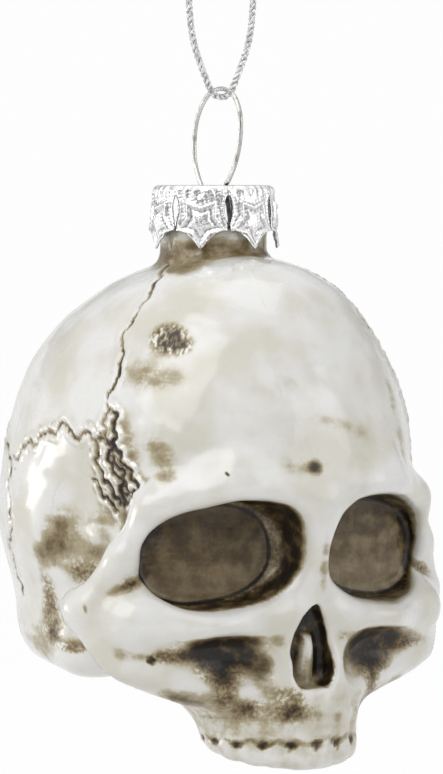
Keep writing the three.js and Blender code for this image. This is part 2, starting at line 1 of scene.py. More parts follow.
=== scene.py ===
# %% [markdown]
# A blown-glass skull for the Christmas tree, in Blender
#
# The real one is a bubble of glass blown into a mould, silvered inside, sprayed pearly white outside
# and wiped with a brown wash that stays in the hollows. A stamped metal cap with a crown of stars sits
# on its short neck, a spring wire holds the cap, and a twisted silver cord hangs the wire from a knot.
# This lesson models each piece where the frame says that it is, and gives each its own finish.

# %% Tools, and the frame that every piece is placed by
import math
import bmesh
import bpy
import numpy as np
from mathutils import Matrix, Vector


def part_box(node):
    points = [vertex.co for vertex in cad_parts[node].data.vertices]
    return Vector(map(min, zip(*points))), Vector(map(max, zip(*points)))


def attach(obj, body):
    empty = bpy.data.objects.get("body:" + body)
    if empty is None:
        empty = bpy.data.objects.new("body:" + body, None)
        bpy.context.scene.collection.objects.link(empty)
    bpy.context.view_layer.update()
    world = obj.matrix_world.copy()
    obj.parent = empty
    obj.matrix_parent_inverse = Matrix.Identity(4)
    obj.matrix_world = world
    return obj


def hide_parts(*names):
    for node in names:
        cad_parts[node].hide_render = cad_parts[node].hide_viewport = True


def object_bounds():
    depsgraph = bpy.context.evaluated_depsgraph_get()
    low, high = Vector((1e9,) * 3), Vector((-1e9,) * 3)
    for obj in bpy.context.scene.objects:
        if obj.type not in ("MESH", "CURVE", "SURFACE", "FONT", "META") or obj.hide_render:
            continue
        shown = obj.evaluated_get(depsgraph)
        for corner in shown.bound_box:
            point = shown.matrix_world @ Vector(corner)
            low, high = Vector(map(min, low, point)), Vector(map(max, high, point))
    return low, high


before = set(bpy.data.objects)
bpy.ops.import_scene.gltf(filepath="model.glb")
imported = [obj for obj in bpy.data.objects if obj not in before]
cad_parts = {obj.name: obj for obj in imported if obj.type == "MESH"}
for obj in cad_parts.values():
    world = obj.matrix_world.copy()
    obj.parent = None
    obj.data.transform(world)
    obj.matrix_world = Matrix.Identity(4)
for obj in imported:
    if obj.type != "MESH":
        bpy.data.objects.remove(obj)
cad_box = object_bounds()
MM = 0.001

# %% [markdown]
# Camera
#
# The ornament hangs turned 30 degrees to its right, seen from barely above. A long lens from about half
# a metre keeps the skull's sides nearly parallel, as in a catalogue picture. The lens follows from the
# height that the frame takes in at the skull's own distance.

# %% Camera at the catalogue angle
skull_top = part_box("skull_shell")[1][2]
NECK_Y = 2.0 * MM
SKULL_AT = Vector((0, NECK_Y + 2.2 * MM, skull_top - 35.6 * MM))
VIEW_TURN, VIEW_TILT, VIEW_DISTANCE = math.radians(-30), math.radians(3), 0.56
PHOTO_ROWS, MM_PER_ROW = 774, 0.13
PICTURE_HEIGHT = PHOTO_ROWS * MM_PER_ROW * MM
AIM_RIGHT, AIM_UP = 2.15, 10.14

scene = bpy.context.scene
back = Vector((
    math.sin(VIEW_TURN) * math.cos(VIEW_TILT),
    -math.cos(VIEW_TURN) * math.cos(VIEW_TILT),
    math.sin(VIEW_TILT),
))
right = Vector((math.cos(VIEW_TURN), math.sin(VIEW_TURN), 0))
up = back.cross(right)
camera_data = bpy.data.cameras.new("camera")
camera_data.lens = camera_data.sensor_width * VIEW_DISTANCE / PICTURE_HEIGHT
camera_data.clip_start = 0.05
camera = bpy.data.objects.new("camera", camera_data)
scene.collection.objects.link(camera)
aim = SKULL_AT + right * AIM_RIGHT * MM + up * AIM_UP * MM
axes = Matrix((right, up, back)).transposed().to_4x4()
camera.matrix_world = Matrix.Translation(aim + back * VIEW_DISTANCE) @ axes
scene.camera = camera
scene.view_settings.view_transform = "Standard"
print("lens", round(camera_data.lens), "mm")

# %% [markdown]
# Cord
#
# The cord is limp, but the weight of the glass pulls its loop straight: two strands go down from the
# knot, spread a little, and turn round under the top of the wire. A bevelled curve is the quickest way
# to lay a thread along a route. Three of them, wound round one another, make the twist that catches
# the light on a metallic cord, which a single smooth tube would miss.

# %% The cord's route, from one end at the knot round the wire to the other
CORD_WIDTH, PLIES = 0.9 * MM, 3
CORD_TURNS, KNOT_TURNS, TAIL_TURNS = 400, 520, 420  # of the twist, to a metre
LOOP_FOOT = -51 * MM
half_route = [
    (0.622, 0.112), (1.2, 0.459), (1.6, 0.969), (1.948, 1.698), (2.5, 2.948), (3.05, 4.2), (3.6, 5.6),
    (4.1, 7.2), (4.452, 9.0), (4.651, 11.0), (4.748, 13.0), (4.498, 19.0), (3.698, 27.0), (2.601, 35.0),
    (1.403, 42.0), (0.801, 46.0), (0.625, 48.75),
]
right_side = [Vector((x * MM, 0, LOOP_FOOT + z * MM)) for x, z in half_route]
left_side = [Vector((-p.x, 0, p.z)) for p in reversed(right_side)]
cord_points = left_side + [Vector((0, 0, LOOP_FOOT))] + right_side


def smooth_path(points, count):
    """Points at even steps along a smooth curve through the given ones."""
    ends = [points[0] * 2 - points[1], *points, points[-1] * 2 - points[-2]]
    dense = []
    for a, b, c, d in zip(ends, ends[1:], ends[2:], ends[3:]):
        for t in np.linspace(0, 1, 24, endpoint=False):
            squared = (a * 2 - b * 5 + c * 4 - d) * t**2
            cubed = (b * 3 - a - c * 3 + d) * t**3
            dense.append((b * 2 + (c - a) * t + squared + cubed) / 2)
    dense = np.array([*dense, points[-1]])
    along = np.concatenate([[0], np.cumsum(np.linalg.norm(np.diff(dense, axis=0), axis=1))])
    even = np.linspace(0, along[-1], count)
    return np.stack([np.interp(even, along, dense[:, k]) for k in range(3)], axis=1), along[-1]


cord_path, cord_length = smooth_path(cord_points, 640)
print("cord", round(cord_length * 1000, 1), "mm round its loop")


# %% Threads wound round a path
def thread(name, path, radius):
    """A round thread along a path, as a mesh with closed ends."""
    curve = bpy.data.curves.new(name, "CURVE")
    curve.dimensions = "3D"
    curve.bevel_depth = radius
    curve.bevel_resolution = 2
    curve.use_fill_caps = True
    spline = curve.splines.new("POLY")
    spline.points.add(len(path) - 1)
    spline.points.foreach_set("co", np.c_[path, np.ones(len(path))].ravel())
    holder = bpy.data.objects.new(name, curve)
    mesh = bpy.data.meshes.new_from_object(holder)
    bpy.data.objects.remove(holder)
    bpy.data.curves.remove(curve)
    return mesh


def twisted(name, path, width, turns_per_metre):
    """Plies wound round a path, joined in one object."""
    step = np.gradient(path, axis=0)
    step /= np.linalg.norm(step, axis=1)[:, None]
    side = np.cross(step, np.tile([0.0, 1.0, 0.0], (len(path), 1)) + 0.001)
    side /= np.linalg.norm(side, axis=1)[:, None]
    other = np.cross(step, side)
    along = np.concatenate([[0], np.cumsum(np.linalg.norm(np.diff(path, axis=0), axis=1))])
    ply = width / 2 / (1 + 1 / math.sin(math.pi / PLIES))
    bm = bmesh.new()
    for k in range(PLIES):
        turn = 2 * math.pi * (along * turns_per_metre + k / PLIES)
        shift = (width / 2 - ply) * (side * np.cos(turn)[:, None] + other * np.sin(turn)[:, None])
        bm.from_mesh(thread(name + "_ply", path + shift, ply))
    bmesh.ops.recalc_face_normals(bm, faces=bm.faces)
    return from_bmesh(name, bm)


def from_bmesh(name, bm):
    """Makes an object at the origin from a bmesh."""
    mesh = bpy.data.meshes.new(name)
    bm.to_mesh(mesh)
    bm.free()
    mesh.polygons.foreach_set("use_smooth", [True] * len(mesh.polygons))
    piece = bpy.data.objects.new(name, mesh)
    scene.collection.objects.link(piece)
    return piece


cord = twisted("silver_cord", cord_path, CORD_WIDTH, CORD_TURNS)
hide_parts("cord_loop")
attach(cord, "cord")
print("cord faces", len(cord.data.polygons))

# %% [markdown]
# Knot
#
# Both ends of the cord are tied together in one overhand knot, which leaves a small hard ball and two
# short tails. A trefoil is the same knot with its ends joined, so its formula gives a believable ball
# without drawing each crossing by hand.

# %% The overhand knot and its tails
turn = np.linspace(0, 2 * math.pi, 220)
ball = np.stack([
    np.sin(turn) + 2 * np.sin(2 * turn),
    -1.6 * np.sin(3 * turn),
    np.cos(turn) - 2 * np.cos(2 * turn),
], axis=1)
ball *= 0.47 * MM
knot_parts = [twisted("knot_ball", ball, CORD_WIDTH, KNOT_TURNS)]
tail = [(0.1, 0, 0.3), (0.6, 0.15, 1.6), (1.0, 0.25, 3.0), (1.25, 0.2, 4.6), (1.6, 0, 6.2), (1.75, -0.1, 7.8)]
for side in (-1, 1):
    tail_points = [Vector((x * side * MM, y * side * MM, z * MM)) for x, y, z in tail]
    tail_path = smooth_path(tail_points, 90)[0]
    knot_parts.append(twisted("knot_tail", tail_path, CORD_WIDTH, TAIL_TURNS))


def joined(name, parts):
    """One object from several."""
    bm = bmesh.new()
    for part in parts:
        bm.from_mesh(part.data)
        bpy.data.objects.remove(part)
    return from_bmesh(name, bm)


knot = joined("cord_knot_tied", knot_parts)
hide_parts("cord_knot")
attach(knot, "knot")
print("knot faces", len(knot.data.polygons))

# %% [markdown]
# Glass skull: the form
#
# A mould maker would carve this form from a few masses: an egg for the braincase, a shield for the face,
# bars for the brow and cheekbones, and hollows scooped out of them. The same can be said in code with
# distance fields: each mass is a formula for how far a point is from its surface, and soft joins melt
# them into one skin. Sculpting by hand would need a mouse, and metaballs can't scoop. Sizes here are
# millimetres from the middle of the braincase, on the +X side only, because the skull is symmetric.

# %% Masses, as distances from their surfaces
def egg(p, centre, radii):
    unit = (p - centre) / radii
    near = np.linalg.norm(unit, axis=1)
    return near * (near - 1) / np.maximum(np.linalg.norm(unit / radii, axis=1), 1e-9)


def bar(p, start, end, radius_start, radius_end):
    start, end = np.array(start, float), np.array(end, float)
    along = end - start
    share = np.clip((p - start) @ along / (along @ along), 0, 1)
    away = np.linalg.norm(p - start - share[:, None] * along, axis=1)
    return away - radius_start - (radius_end - radius_start) * share


def melt(a, b, width):
    """Joins two masses with a soft fillet."""
    near = np.maximum(width - np.abs(a - b), 0) / width
    return np.minimum(a, b) - near * near * width / 4


def keep(a, b, width):
    """Keeps what lies in both masses."""
    return -melt(-a, -b, width)


def scoop(a, b, width):
    """Scoops mass b out of mass a."""
    return -melt(-a, b, width)


def oval(x, y, width, length):
    near = np.hypot(x / width, y / length) + 1e-9
    return near * (near - 1) / np.hypot(x / width**2, y / length**2).clip(1e-9)


def swell(value, width):
    """1 where the value is 0, and softly less on both sides."""
    return np.exp(-(value / width) ** 2)


# %% The face, a shield whose width and depth change down its height
shield_levels = np.array([
    # height, half width, front, middle, back edge
    (4.0, 18.2, 28.0, 6.0, 21.6), (0.0, 20.3, 29.2, 6.0, 19.0), (-5.0, 21.8, 29.0, 6.0, 15.6),
    (-8.0, 22.8, 28.5, 6.0, 15.2), (-11.2, 24.0, 28.1, 6.5, 15.0), (-13.2, 25.2, 27.8, 6.5, 14.2),
    (-14.6, 26.8, 27.5, 7.0, 11.4), (-15.8, 27.6, 27.3, 7.0, 11.2), (-17.4, 28.0, 27.0, 7.5, 11.8),
    (-20.0, 28.3, 25.7, 8.6, 14.0), (-22.3, 27.8, 25.1, 9.8, 15.7), (-24.6, 27.2, 25.0, 11.0, 17.2),
    (-27.3, 19.6, 25.4, 13.0, 17.8), (-30.0, 10.0, 25.6, 15.0, 20.6),
])


def level_value(z, column):
    """A smooth value between the levels."""
    knots = shield_levels[::-1, 0]
    values = shield_levels[::-1, column]
    fine = np.linspace(knots[0], knots[-1], 121)
    curve = np.interp(fine, knots, values)
    for _ in range(10):
        curve[1:-1] = (curve[:-2] + 2 * curve[1:-1] + curve[2:]) / 4
    return np.interp(z, fine, curve)


def face_shield(x, y, z):
    width, front, middle, rear = (level_value(z, k) for k in (1, 2, 3, 4))
    d = oval(x, y + middle, width, front - middle)
    d = keep(d, (y + rear) * 0.75, 1.1)
    d = keep(d, z - 1.2, 6.0)
    return keep(d, -29.0 - z, 3.0)


# %% The braincase and the face melted into one skin
def bone_form(p):
    """The bare bone, without sockets and nose."""
    x, y, z = np.abs(p[:, 0]), p[:, 1], p[:, 2]
    q = np.stack([x, y, z], axis=1)
    crown = np.stack([x, y + 2.9 * (np.maximum(z - 11, 0) / 13) ** 2, z], axis=1)
    d = egg(crown, (0, 0.3, 0), (24.5, 29.3, 27.5))
    d = melt(d, egg(crown, (0, -9.6, 4.2), (19.4, 19.3, 20.6)), 6.0)
    d = melt(d, egg(q, (0, 5.2, -8.0), (23.4, 23.0, 18.0)), 6.0)
    d = melt(d, bar(q, (15.0, 9.3, -20.4), (16.8, -0.5, -22.9), 6.2, 4.9), 6.0)
    d = keep(d, -27.6 - z, 4.0)
    d = scoop(d, egg(q, (29.6, -10.8, -7.2), (7.8, 8.2, 11.4)), 4.6)
    d = scoop(d, egg(q, (27.0, -6.5, -17.8), (4.6, 4.8, 4.9)), 2.5)
    d = scoop(d, bar(q, (23.4, -12.8, -5.2), (23.4, -10.8, -12.4), 1.6, 2.8), 2.2)
    d = melt(d, face_shield(x, y, z), 0.8)
    d = melt(d, egg(q, (0, -15.0, -22.0), (15.0, 10.5, 11.0)), 4.0)
    d = melt(d, dental_arch(x, y, z), 2.5)
    for start, end, r0, r1, soft in bars:
        d = melt(d, bar(q, start, end, r0, r1), soft)
    for centre, radii, soft in hollows:
        d = scoop(d, egg(q, centre, radii), soft)
    return d


def dental_arch(x, y, z):
    d = keep(oval(x, y + 18.6, 10.1, 9.6), z + 22, 2.0)
    return keep(d, -36.75 + 0.2 * np.maximum(y + 28.2, 0) - z, 2.0)


bars = [
    # from, to, radii, softness: brow, bridge of the nose, its side, lower rim of the socket, cheekbone
    ((1.0, -27.0, -2.4), (10.0, -25.7, -0.9), 2.8, 2.5, 4.6),
    ((10.0, -25.7, -0.9), (18.9, -20.4, -3.6), 2.5, 2.0, 4.0),
    ((18.9, -20.2, -3.6), (21.2, -17.2, -9.6), 2.0, 2.1, 2.0),
    ((21.2, -17.2, -9.6), (24.4, -14.2, -15.2), 2.1, 2.0, 2.0),
    ((0, -27.6, -4.0), (0, -26.6, -15.0), 2.3, 1.6, 2.4),
    ((0.8, -25.6, -14.0), (3.9, -24.2, -26.0), 1.8, 1.5, 1.4),
    ((4.5, -25.6, -16.8), (12.5, -23.9, -18.2), 1.6, 2.0, 2.2),
    ((12.5, -23.9, -18.2), (20.5, -18.8, -17.8), 2.0, 2.4, 3.0),
    ((20.5, -18.6, -17.6), (25.5, -11.6, -16.2), 2.4, 1.8, 2.4),
]
hollows = [
    # centre, radii, softness: under the cheekbone's front, beside the nose, under its end
    ((12.4, -26.6, -22.6), (6.4, 4.4, 3.3), 1.5),
    ((8.2, -28.0, -23.6), (3.2, 3.6, 3.4), 1.6),
    ((20.5, -10.5, -32.3), (8.2, 8.4, 6.3), 2.4),
]


# %% [markdown]
# Glass skull: sockets, nose and neck
#
# The eye sockets of the mould are shallow: each ends on a flat oval plate with a fine groove round it,
# so that the glass can be drawn out of the mould. The nose is one hollow with a slanting floor, and a
# small bone stands on the floor in the middle. They are scooped from the same field, because then their
# edges come out rounded, as molten glass leaves them. The neck for the cap is melted on last.

# %% Sockets with their plates, the nose and the neck
SOCKET = np.array((11.3, -20.3, -9.4))
SOCKET_TURN, PLATE_TURN = math.radians(9), math.radians(15.7)
NOSE_MIDDLE, NOSE_REACH = -20.9, 5.3
NECK_BACK = 2.2


def socket_place(x, z):
    dx, dz = x - SOCKET[0], z - SOCKET[2]
    across = dx * math.cos(SOCKET_TURN) - dz * math.sin(SOCKET_TURN)
    rise = dx * math.sin(SOCKET_TURN) + dz * math.cos(SOCKET_TURN)
    return across, rise, ((np.abs(across) / 8.8) ** 2.6 + (np.abs(rise) / 6.2) ** 2.6) ** (1 / 2.6)


def socket(x, y, z):
    across, rise, near = socket_place(x, z)
    wall = (near - 1) * np.hypot(across, rise) / near.clip(0.05)
    flare = np.clip(-(y + 19) * 0.07, 0, 0.8)
    plate = y - SOCKET[1] - (x - SOCKET[0]) * math.tan(PLATE_TURN)
    beyond = beyond_plate(across, rise)
    groove = 0.55 * swell(beyond - 0.25, 0.3) - 0.75 * np.clip(beyond - 0.6, 0, 3.2)
    return keep(wall - flare, (plate - groove) * math.cos(PLATE_TURN), 0.7)


def beyond_plate(across, rise):
    """Distance past the edge of the socket's oval plate, in mm."""
    near = ((np.abs(across - 0.7) / 8.3) ** 2.4 + (np.abs(rise) / 5.8) ** 2.4) ** (1 / 2.4)
    return (near - 1) * np.hypot(across - 0.7, rise) / near.clip(0.05)


def septum_half(rise):
    """Half width of the bone in the nose, at a rise of -1 at the nose's foot to 1 at its top."""
    return np.interp(rise, [-1.2, -0.65, -0.37, -0.04, 0.2, 0.42], [1.3, 1.2, 1.1, 0.9, 0.55, -0.5])


def nose(x, y, z):
    rise = (z - NOSE_MIDDLE) / NOSE_REACH
    levels = [-1.02, -1, -0.7, -0.2, 0.3, 0.7, 0.92, 1.02]
    half = np.interp(rise, levels, [0, 2.2, 2.95, 2.95, 2.3, 1.35, 0.55, 0])
    wall = keep((x - half) * 0.92, (np.abs(rise) - 1) * NOSE_REACH, 0.8)
    bone = 1.6 / (1 + np.exp((x - septum_half(rise)) / 0.22))
    return keep(wall, y + 24.6 + bone + 0.15 * (z - NOSE_MIDDLE), 1.0)


def skull_form(p):
    d = bone_form(p)
    x, y, z = np.abs(p[:, 0]), p[:, 1], p[:, 2]
    d = scoop(d, socket(x, y, z), 1.5)
    d = scoop(d, nose(x, y, z), 0.7)
    return melt(d, neck(x, y, z), 1.8)


def neck(x, y, z):
    """The short neck under the cap, a tube whose bore goes into the glass."""
    across = np.hypot(x, y + NECK_BACK)
    outside = keep(across - 6.95, np.abs(z - 27.8) - 7.8, 0.3)
    return scoop(outside, keep(across - 5.95, 31.0 - z, 0.4), 0.3)


# %% [markdown]
# Glass skull: the skin
#
# A cube with each side cut in squares wraps a head better than a sphere, because it has no poles. The
# cube's points are pushed in until they touch the bare bone, and evened out along its surface. Only then
# is the mesh cut finer and laid on the whole form, three times over, because a coarse mesh folds over
# the rims of the sockets and the nose. Points crowd on the face, at the temples' wrinkles and at the
# nose, and thin out on the crown, so the triangles go where they show.

# %% A cube shrunk on to the form
def point_array(bm):
    return np.array([v.co[:] for v in bm.verts])


def edge_array(bm):
    bm.verts.index_update()
    return np.array([(e.verts[0].index, e.verts[1].index) for e in bm.edges])


def shrink(points, form):
    """Marches each point from a big egg round the head to the form."""
    square = np.tan(points * math.pi / 2)
    way = square / np.linalg.norm(square, axis=1)[:, None]
    middle = np.array((0, -3.5, -4.4))
    start, core = middle + way * (37, 44, 48), middle + way * (13.5, 0, 16.5)
    length = np.linalg.norm(core - start, axis=1)
    share = np.zeros(len(points))
    for _ in range(90):
        share = np.minimum(share + 0.8 * form(start + share[:, None] * (core - start)) / length, 1)
    return start + share[:, None] * (core - start)


def settle(points, form):
    """Moves each point straight on to the form's surface."""
    d = form(points)
    slope = np.stack([form(points + offset) - d for offset in np.eye(3) * 0.02], axis=1) / 0.02
    steep = np.maximum((slope**2).sum(axis=1), 0.3)
    return points - (np.clip(d, -1.5, 1.5) / steep)[:, None] * slope


def crowding(points):
    """How strongly points are drawn together: on the face, and most at the wrinkles and the nose."""
    x, y, z = points[:, 0], points[:, 1], points[:, 2]
    face = 1 / (1 + np.exp((y + 13) / 2.5))
    low = 1 / (1 + np.exp((z - 3) / 3))
    wrinkled = np.exp(-((np.abs(x) - 21.5) ** 2 + (y + 14.5) ** 2 + (z - 1) ** 2) / 36)
    nasal = np.exp(-(x**2 + (y + 26) ** 2 + (z + 21) ** 2) / 30)
    return 1 + 1.5 * face * low + 0.6 * face + 1.6 * wrinkled + 1.6 * nasal


def neighbour_sum(edges, count, at_a, at_b):
    """For each point, the sum over its edges of the value at the other end."""
    a, b = edges.T
    return np.bincount(a, at_b, count) + np.bincount(b, at_a, count)


def evened(points, edges, form, rounds):
    """Spreads the points along the form by how crowded each place should be."""
    a, b = edges.T
    count = len(points)
    for _ in range(rounds):
        pull = crowding(points)
        gap = np.linalg.norm(points[a] - points[b], axis=1)
        to_b, to_a = gap * pull[b], gap * pull[a]
        total = neighbour_sum(edges, count, to_a, to_b)
        drawn = [neighbour_sum(edges, count, to_a * points[a, k], to_b * points[b, k]) for k in range(3)]
        drawn = np.stack(drawn, axis=1)
        points = settle((points + drawn / total[:, None]) / 2, form)
    return settle(points, form)


skull_mesh = bmesh.new()
bmesh.ops.create_cube(skull_mesh, size=1)
bmesh.ops.subdivide_edges(skull_mesh, edges=skull_mesh.edges[:], cuts=14, use_grid_fill=True)
skull_points = evened(shrink(point_array(skull_mesh), bone_form), edge_array(skull_mesh), bone_form, 30)
for rounds in (22, 12, 7):
    for vert, place in zip(skull_mesh.verts, skull_points):
        vert.co = place
    bmesh.ops.subdivide_edges(skull_mesh, edges=skull_mesh.edges[:], cuts=1, use_grid_fill=True)
    skull_points = evened(point_array(skull_mesh), edge_array(skull_mesh), skull_form, rounds)
    lowest, highest = skull_points.min(axis=0).round(1), skull_points.max(axis=0).round(1)
    print("skull points", len(skull_points), "box", lowest, highest)

# %% [markdown]
# Glass skull: sutures
#
# The sutures wander, because bone plates grow into one another. Each is laid as a smooth path through a
# few points, pressed on to the bone, and pushed from side to side by a few waves. The real mould has
# them as grooves between two soft lips. For every point of the skin the signed distance to the nearest
# path is kept too: the finish uses it to draw a finer, crisper line than the mesh alone can carry.

# %% Paths of the sutures over the bone
from mathutils.kdtree import KDTree


def facing(points, form):
    """Outward direction of the form's surface at each point."""
    slope = np.stack([form(points + o) - form(points - o) for o in np.eye(3) * 0.06], axis=1)
    return slope / np.linalg.norm(slope, axis=1)[:, None].clip(1e-6)


def smooth_step(value, low, high):
    t = np.clip((value - low) / (high - low), 0, 1)
    return t * t * (3 - 2 * t)


def sideways(path):
    """Direction along the bone, square to the path."""
    step = np.gradient(path, axis=0)
    return np.cross(facing(path, bone_form), step / np.linalg.norm(step, axis=1)[:, None])


def bone_line(points, sway, wave, seed, weight, lips=None):
    """A wandering path on the bone, its sideways direction, and how dark and how raised it is."""
    rng = np.random.default_rng(seed)
    path, length = smooth_path([*np.array(points, float)], 420)
    path = settle(path, bone_form)
    along = np.linspace(0, length, len(path))
    shift = sum(
        size * np.sin(2 * math.pi * (along / (wave * size) + rng.random()))
        for size in (1.9, 1.0, 0.43)
    )
    share = along / length
    ends = smooth_step(share, 0, 0.03) * smooth_step(1 - share, 0, 0.03)
    strong, raised = (
        np.interp(share, np.linspace(0, 1, len(w)), w) * ends for w in (weight, lips or weight)
    )
    strong = strong * (0.8 + 0.2 * np.sin(2 * math.pi * (along / (wave * 2.7) + rng.random())))
    path = settle(path + sideways(path) * (sway / 2.4 * shift)[:, None], bone_form)
    return path, sideways(path), strong, raised


def flipped(points):
    return [(-x, y, z) for x, y, z in points]


coronal = [
    (-3, 1.5, 27.6), (-10.4, -6.6, 25), (-13.2, -9.1, 22.9), (-15.3, -10.2, 20.9), (-17.9, -10.5, 17.5),
    (-19.3, -12.6, 14.1), (-20.8, -12.5, 10.5), (-21.2, -12.6, 9.4),
]
far_coronal = [
    (3, 1, 27.6), (8.7, -12, 25), (10.6, -17.5, 20.5), (12.6, -19.9, 16.8), (15.2, -20.4, 12.9),
    (17.6, -19.6, 8.8), (19.9, -18.4, 5.4), (21.2, -18.4, 0),
]
squamous = [
    (-21.9, -13.1, 5.7), (-22.4, -11.5, 4.6), (-22.8, -9.9, 5.1), (-23.3, -7.4, 5.3), (-23.6, -4.9, 6.1),
    (-24.1, -1, 4.7), (-24.3, 2.8, 3.4), (-23.9, 8, 0.7),
]
lambdoid = [
    (0, 28.2, 11), (-8, 26.6, 8.6), (-16, 20.6, 5.6), (-21, 14.4, 3.4), (-23.8, 8.6, 1),
    (-24.3, 8.3, -3.1), (-24.5, 6.9, -6.6), (-23.3, 8.8, -11.8), (-21.5, 8, -17),
]
sagittal = [(0, 8, 27), (0.3, 14, 24.8), (-0.3, 20, 21), (0.2, 25, 16), (0, 28.2, 11)]
squamous_marks = (0.3, 0.1, 0.25, 0.06, 0.05, 0.2, 0.1), (1.3, 1.4, 1.2, 1.2, 0.8)
lambdoid_dark = (0.7, 0.7, 0.8, 1, 0.6, 1, 0.5)
sutures = [
    bone_line(coronal, 0.3, 2.3, 1, (0, 0.1, 0.3, 1, 0.6, 0.1, 0.7, 1, 0.9, 1), (0.2, 0.3, 0.6, 0.7, 0.7)),
    bone_line(far_coronal, 0.4, 2.3, 2, (0.25, 0.8, 1, 1, 1, 0.8), (0.3, 0.7, 0.9, 0.9)),
    bone_line(squamous, 0.55, 2.6, 3, *squamous_marks),
    bone_line(flipped(squamous), 0.55, 2.6, 4, *squamous_marks),
    bone_line(lambdoid, 0.45, 2.2, 5, lambdoid_dark),
    bone_line(flipped(lambdoid), 0.45, 2.2, 6, lambdoid_dark),
    bone_line(sagittal, 0.45, 2.2, 7, (0.6, 0.8, 0.8, 0.7)),
]
wrinkle_marks = (0.9, 0.5, 1, 0.6, 1, 0.8), (0.8, 1.1, 1.2, 1.0)
wrinkles = [
    [(-21.2, -12.6, 9.4), (-21, -13.9, 8.2), (-21.2, -14.5, 6.3), (-21.4, -14.7, 4.5),
     (-21.3, -15.4, 3.2), (-20.9, -16.3, 1.9), (-20.3, -17.5, 0.2), (-20.4, -18.5, -1.1),
     (-20.9, -17.5, -2.3), (-21, -16.2, -3.4)],
    [(-21.2, -12.6, 9.4), (-21.9, -13, 5.6), (-21.7, -14.3, 3.9), (-21.7, -13.9, 2), (-21.1, -15.5, -0.2),
     (-20.9, -15.6, -2.6), (-20.9, -15.6, -3.8)],
    [(-22.2, -12.4, 5.2), (-22.3, -11.9, 3.8), (-22.1, -11.7, 1.6), (-21.8, -12.2, 0.5),
     (-21.4, -13.3, -0.8), (-21.1, -14.2, -2.2), (-21, -14.9, -3.6)],
    [(-22, -10.6, 0), (-21.8, -11.4, -1.8), (-21.3, -12.8, -3.1), (-21, -14.2, -4.3)],
    [(-21.6, -14.6, 2.6), (-21.1, -15.9, 0.9), (-20.9, -16.5, -0.8), (-20.9, -16.3, -2.2)],
]
for count, wrinkle in enumerate(wrinkles):
    for points in (wrinkle, flipped(wrinkle)):
        sutures.append(bone_line(points, 0.34, 1.3, 20 + count, *wrinkle_marks))


# %% Distance from every point of the skin to them
def nearest(points, path):
    tree = KDTree(len(path))
    for i, place in enumerate(path):
        tree.insert(place, i)
    tree.balance()
    found = [tree.find(p) for p in points]
    return np.array([f[1] for f in found]), np.array([f[2] for f in found])


def line_distance(points, lines):
    """Signed distance in mm to the nearest line, how dark it is and how raised its lips are."""
    best, dark, lip = np.full(len(points), 50.0), np.zeros(len(points)), np.zeros(len(points))
    for path, side, strong, raised in lines:
        index, near = nearest(points, path)
        sign = np.where(((points - path[index]) * side[index]).sum(axis=1) < 0, -1, 1)
        closer = near < np.abs(best)
        best[closer] = (near * sign)[closer]
        dark[closer] = strong[index][closer]
        lip[closer] = raised[index][closer]
    return best, dark, lip


suture, suture_depth, suture_lip = line_distance(skull_points, sutures)
print("points within 1 mm of a suture:", int((np.abs(suture) < 1).sum()))

# %% [markdown]
# Glass skull: lips, teeth and the worn surface
#
# Each suture has two soft lips, and where several run together in front of the temple the lips become a
# bundle of sharp silver wrinkles. The teeth are one row of soft bumps under a gum line, with a dark dot
# at each meeting point. Everything is pushed along the surface's own direction, so the skin never folds
# over itself.

# %% Relief of lips, teeth and wear
TOOTH_TURN, ARCH_BACK, MM_PER_DEGREE, GUM = 20.6, 18.6, 0.165, -32.9


def reaches(points, middle, reach):
    """How far points are from a middle, squared, as shares of the reach on each axis."""
    return (((points - np.array(middle)) / np.array(reach)) ** 2).sum(axis=1)


def dabbed(points, middle, reach):
    return np.exp(-reaches(points, middle, reach))


skin_x, skin_y, skin_z = skull_points.T
mirrored_points = skull_points * (-1, 1, 1)
left_half = np.where(skin_x[:, None] < 0, skull_points, mirrored_points)
in_ridges = np.exp(-reaches(left_half, (-21.3, -14.4, 1.0), (2.6, 4.2, 7.2)) ** 2)

arch = np.degrees(np.arctan2(skin_x, -(skin_y + ARCH_BACK)))
on_arch = smooth_step(-skin_z, 25.5, 28) * smooth_step(-skin_y, 12, 16)
on_arch = on_arch * smooth_step(np.hypot(skin_x, skin_y + ARCH_BACK), 6.0, 8.6)
meet = np.cos(2 * math.pi * arch / TOOTH_TURN)
gum = GUM - 0.16 * meet + 0.12 * np.sin(arch * 0.23)
tooth = np.abs(np.sin(math.pi * arch / TOOTH_TURN)) ** 0.6
below_gum = smooth_step(gum - skin_z, -0.1, 0.6) * smooth_step(skin_z, -36.6, -35.6)
gum_groove = swell(skin_z - gum, 0.38) * on_arch
dot_turns = [-66, -55, -45, -33, -21, -11, -1, 9, 18, 29, 39, 55]
dot_weight = np.interp(arch, dot_turns, [1, 0.5, 0.6, 0.4, 0.8, 0.6, 1, 0.8, 1, 0.5, 0.6, 0.3])
from_meet = np.abs(((arch + TOOTH_TURN / 2) % TOOTH_TURN) - TOOTH_TURN / 2) * MM_PER_DEGREE
dot = dot_weight * np.exp(-(from_meet / 0.62) ** 2 - ((skin_z + 33.2) / 0.42) ** 2) * on_arch
root = swell(skin_z + 29.5, 2.4) * on_arch * (0.5 - 0.5 * meet)


def uneven(points, scale, seed):
    """Soft unevenness from a few waves in different directions."""
    rng = np.random.default_rng(seed)
    total = np.zeros(len(points))
    for _ in range(14):
        way = rng.normal(size=3)
        way = way / np.linalg.norm(way) * 2 * math.pi / scale / rng.uniform(0.6, 1.4)
        total += np.sin(points @ way + rng.random() * 6.28)
    return total / 3


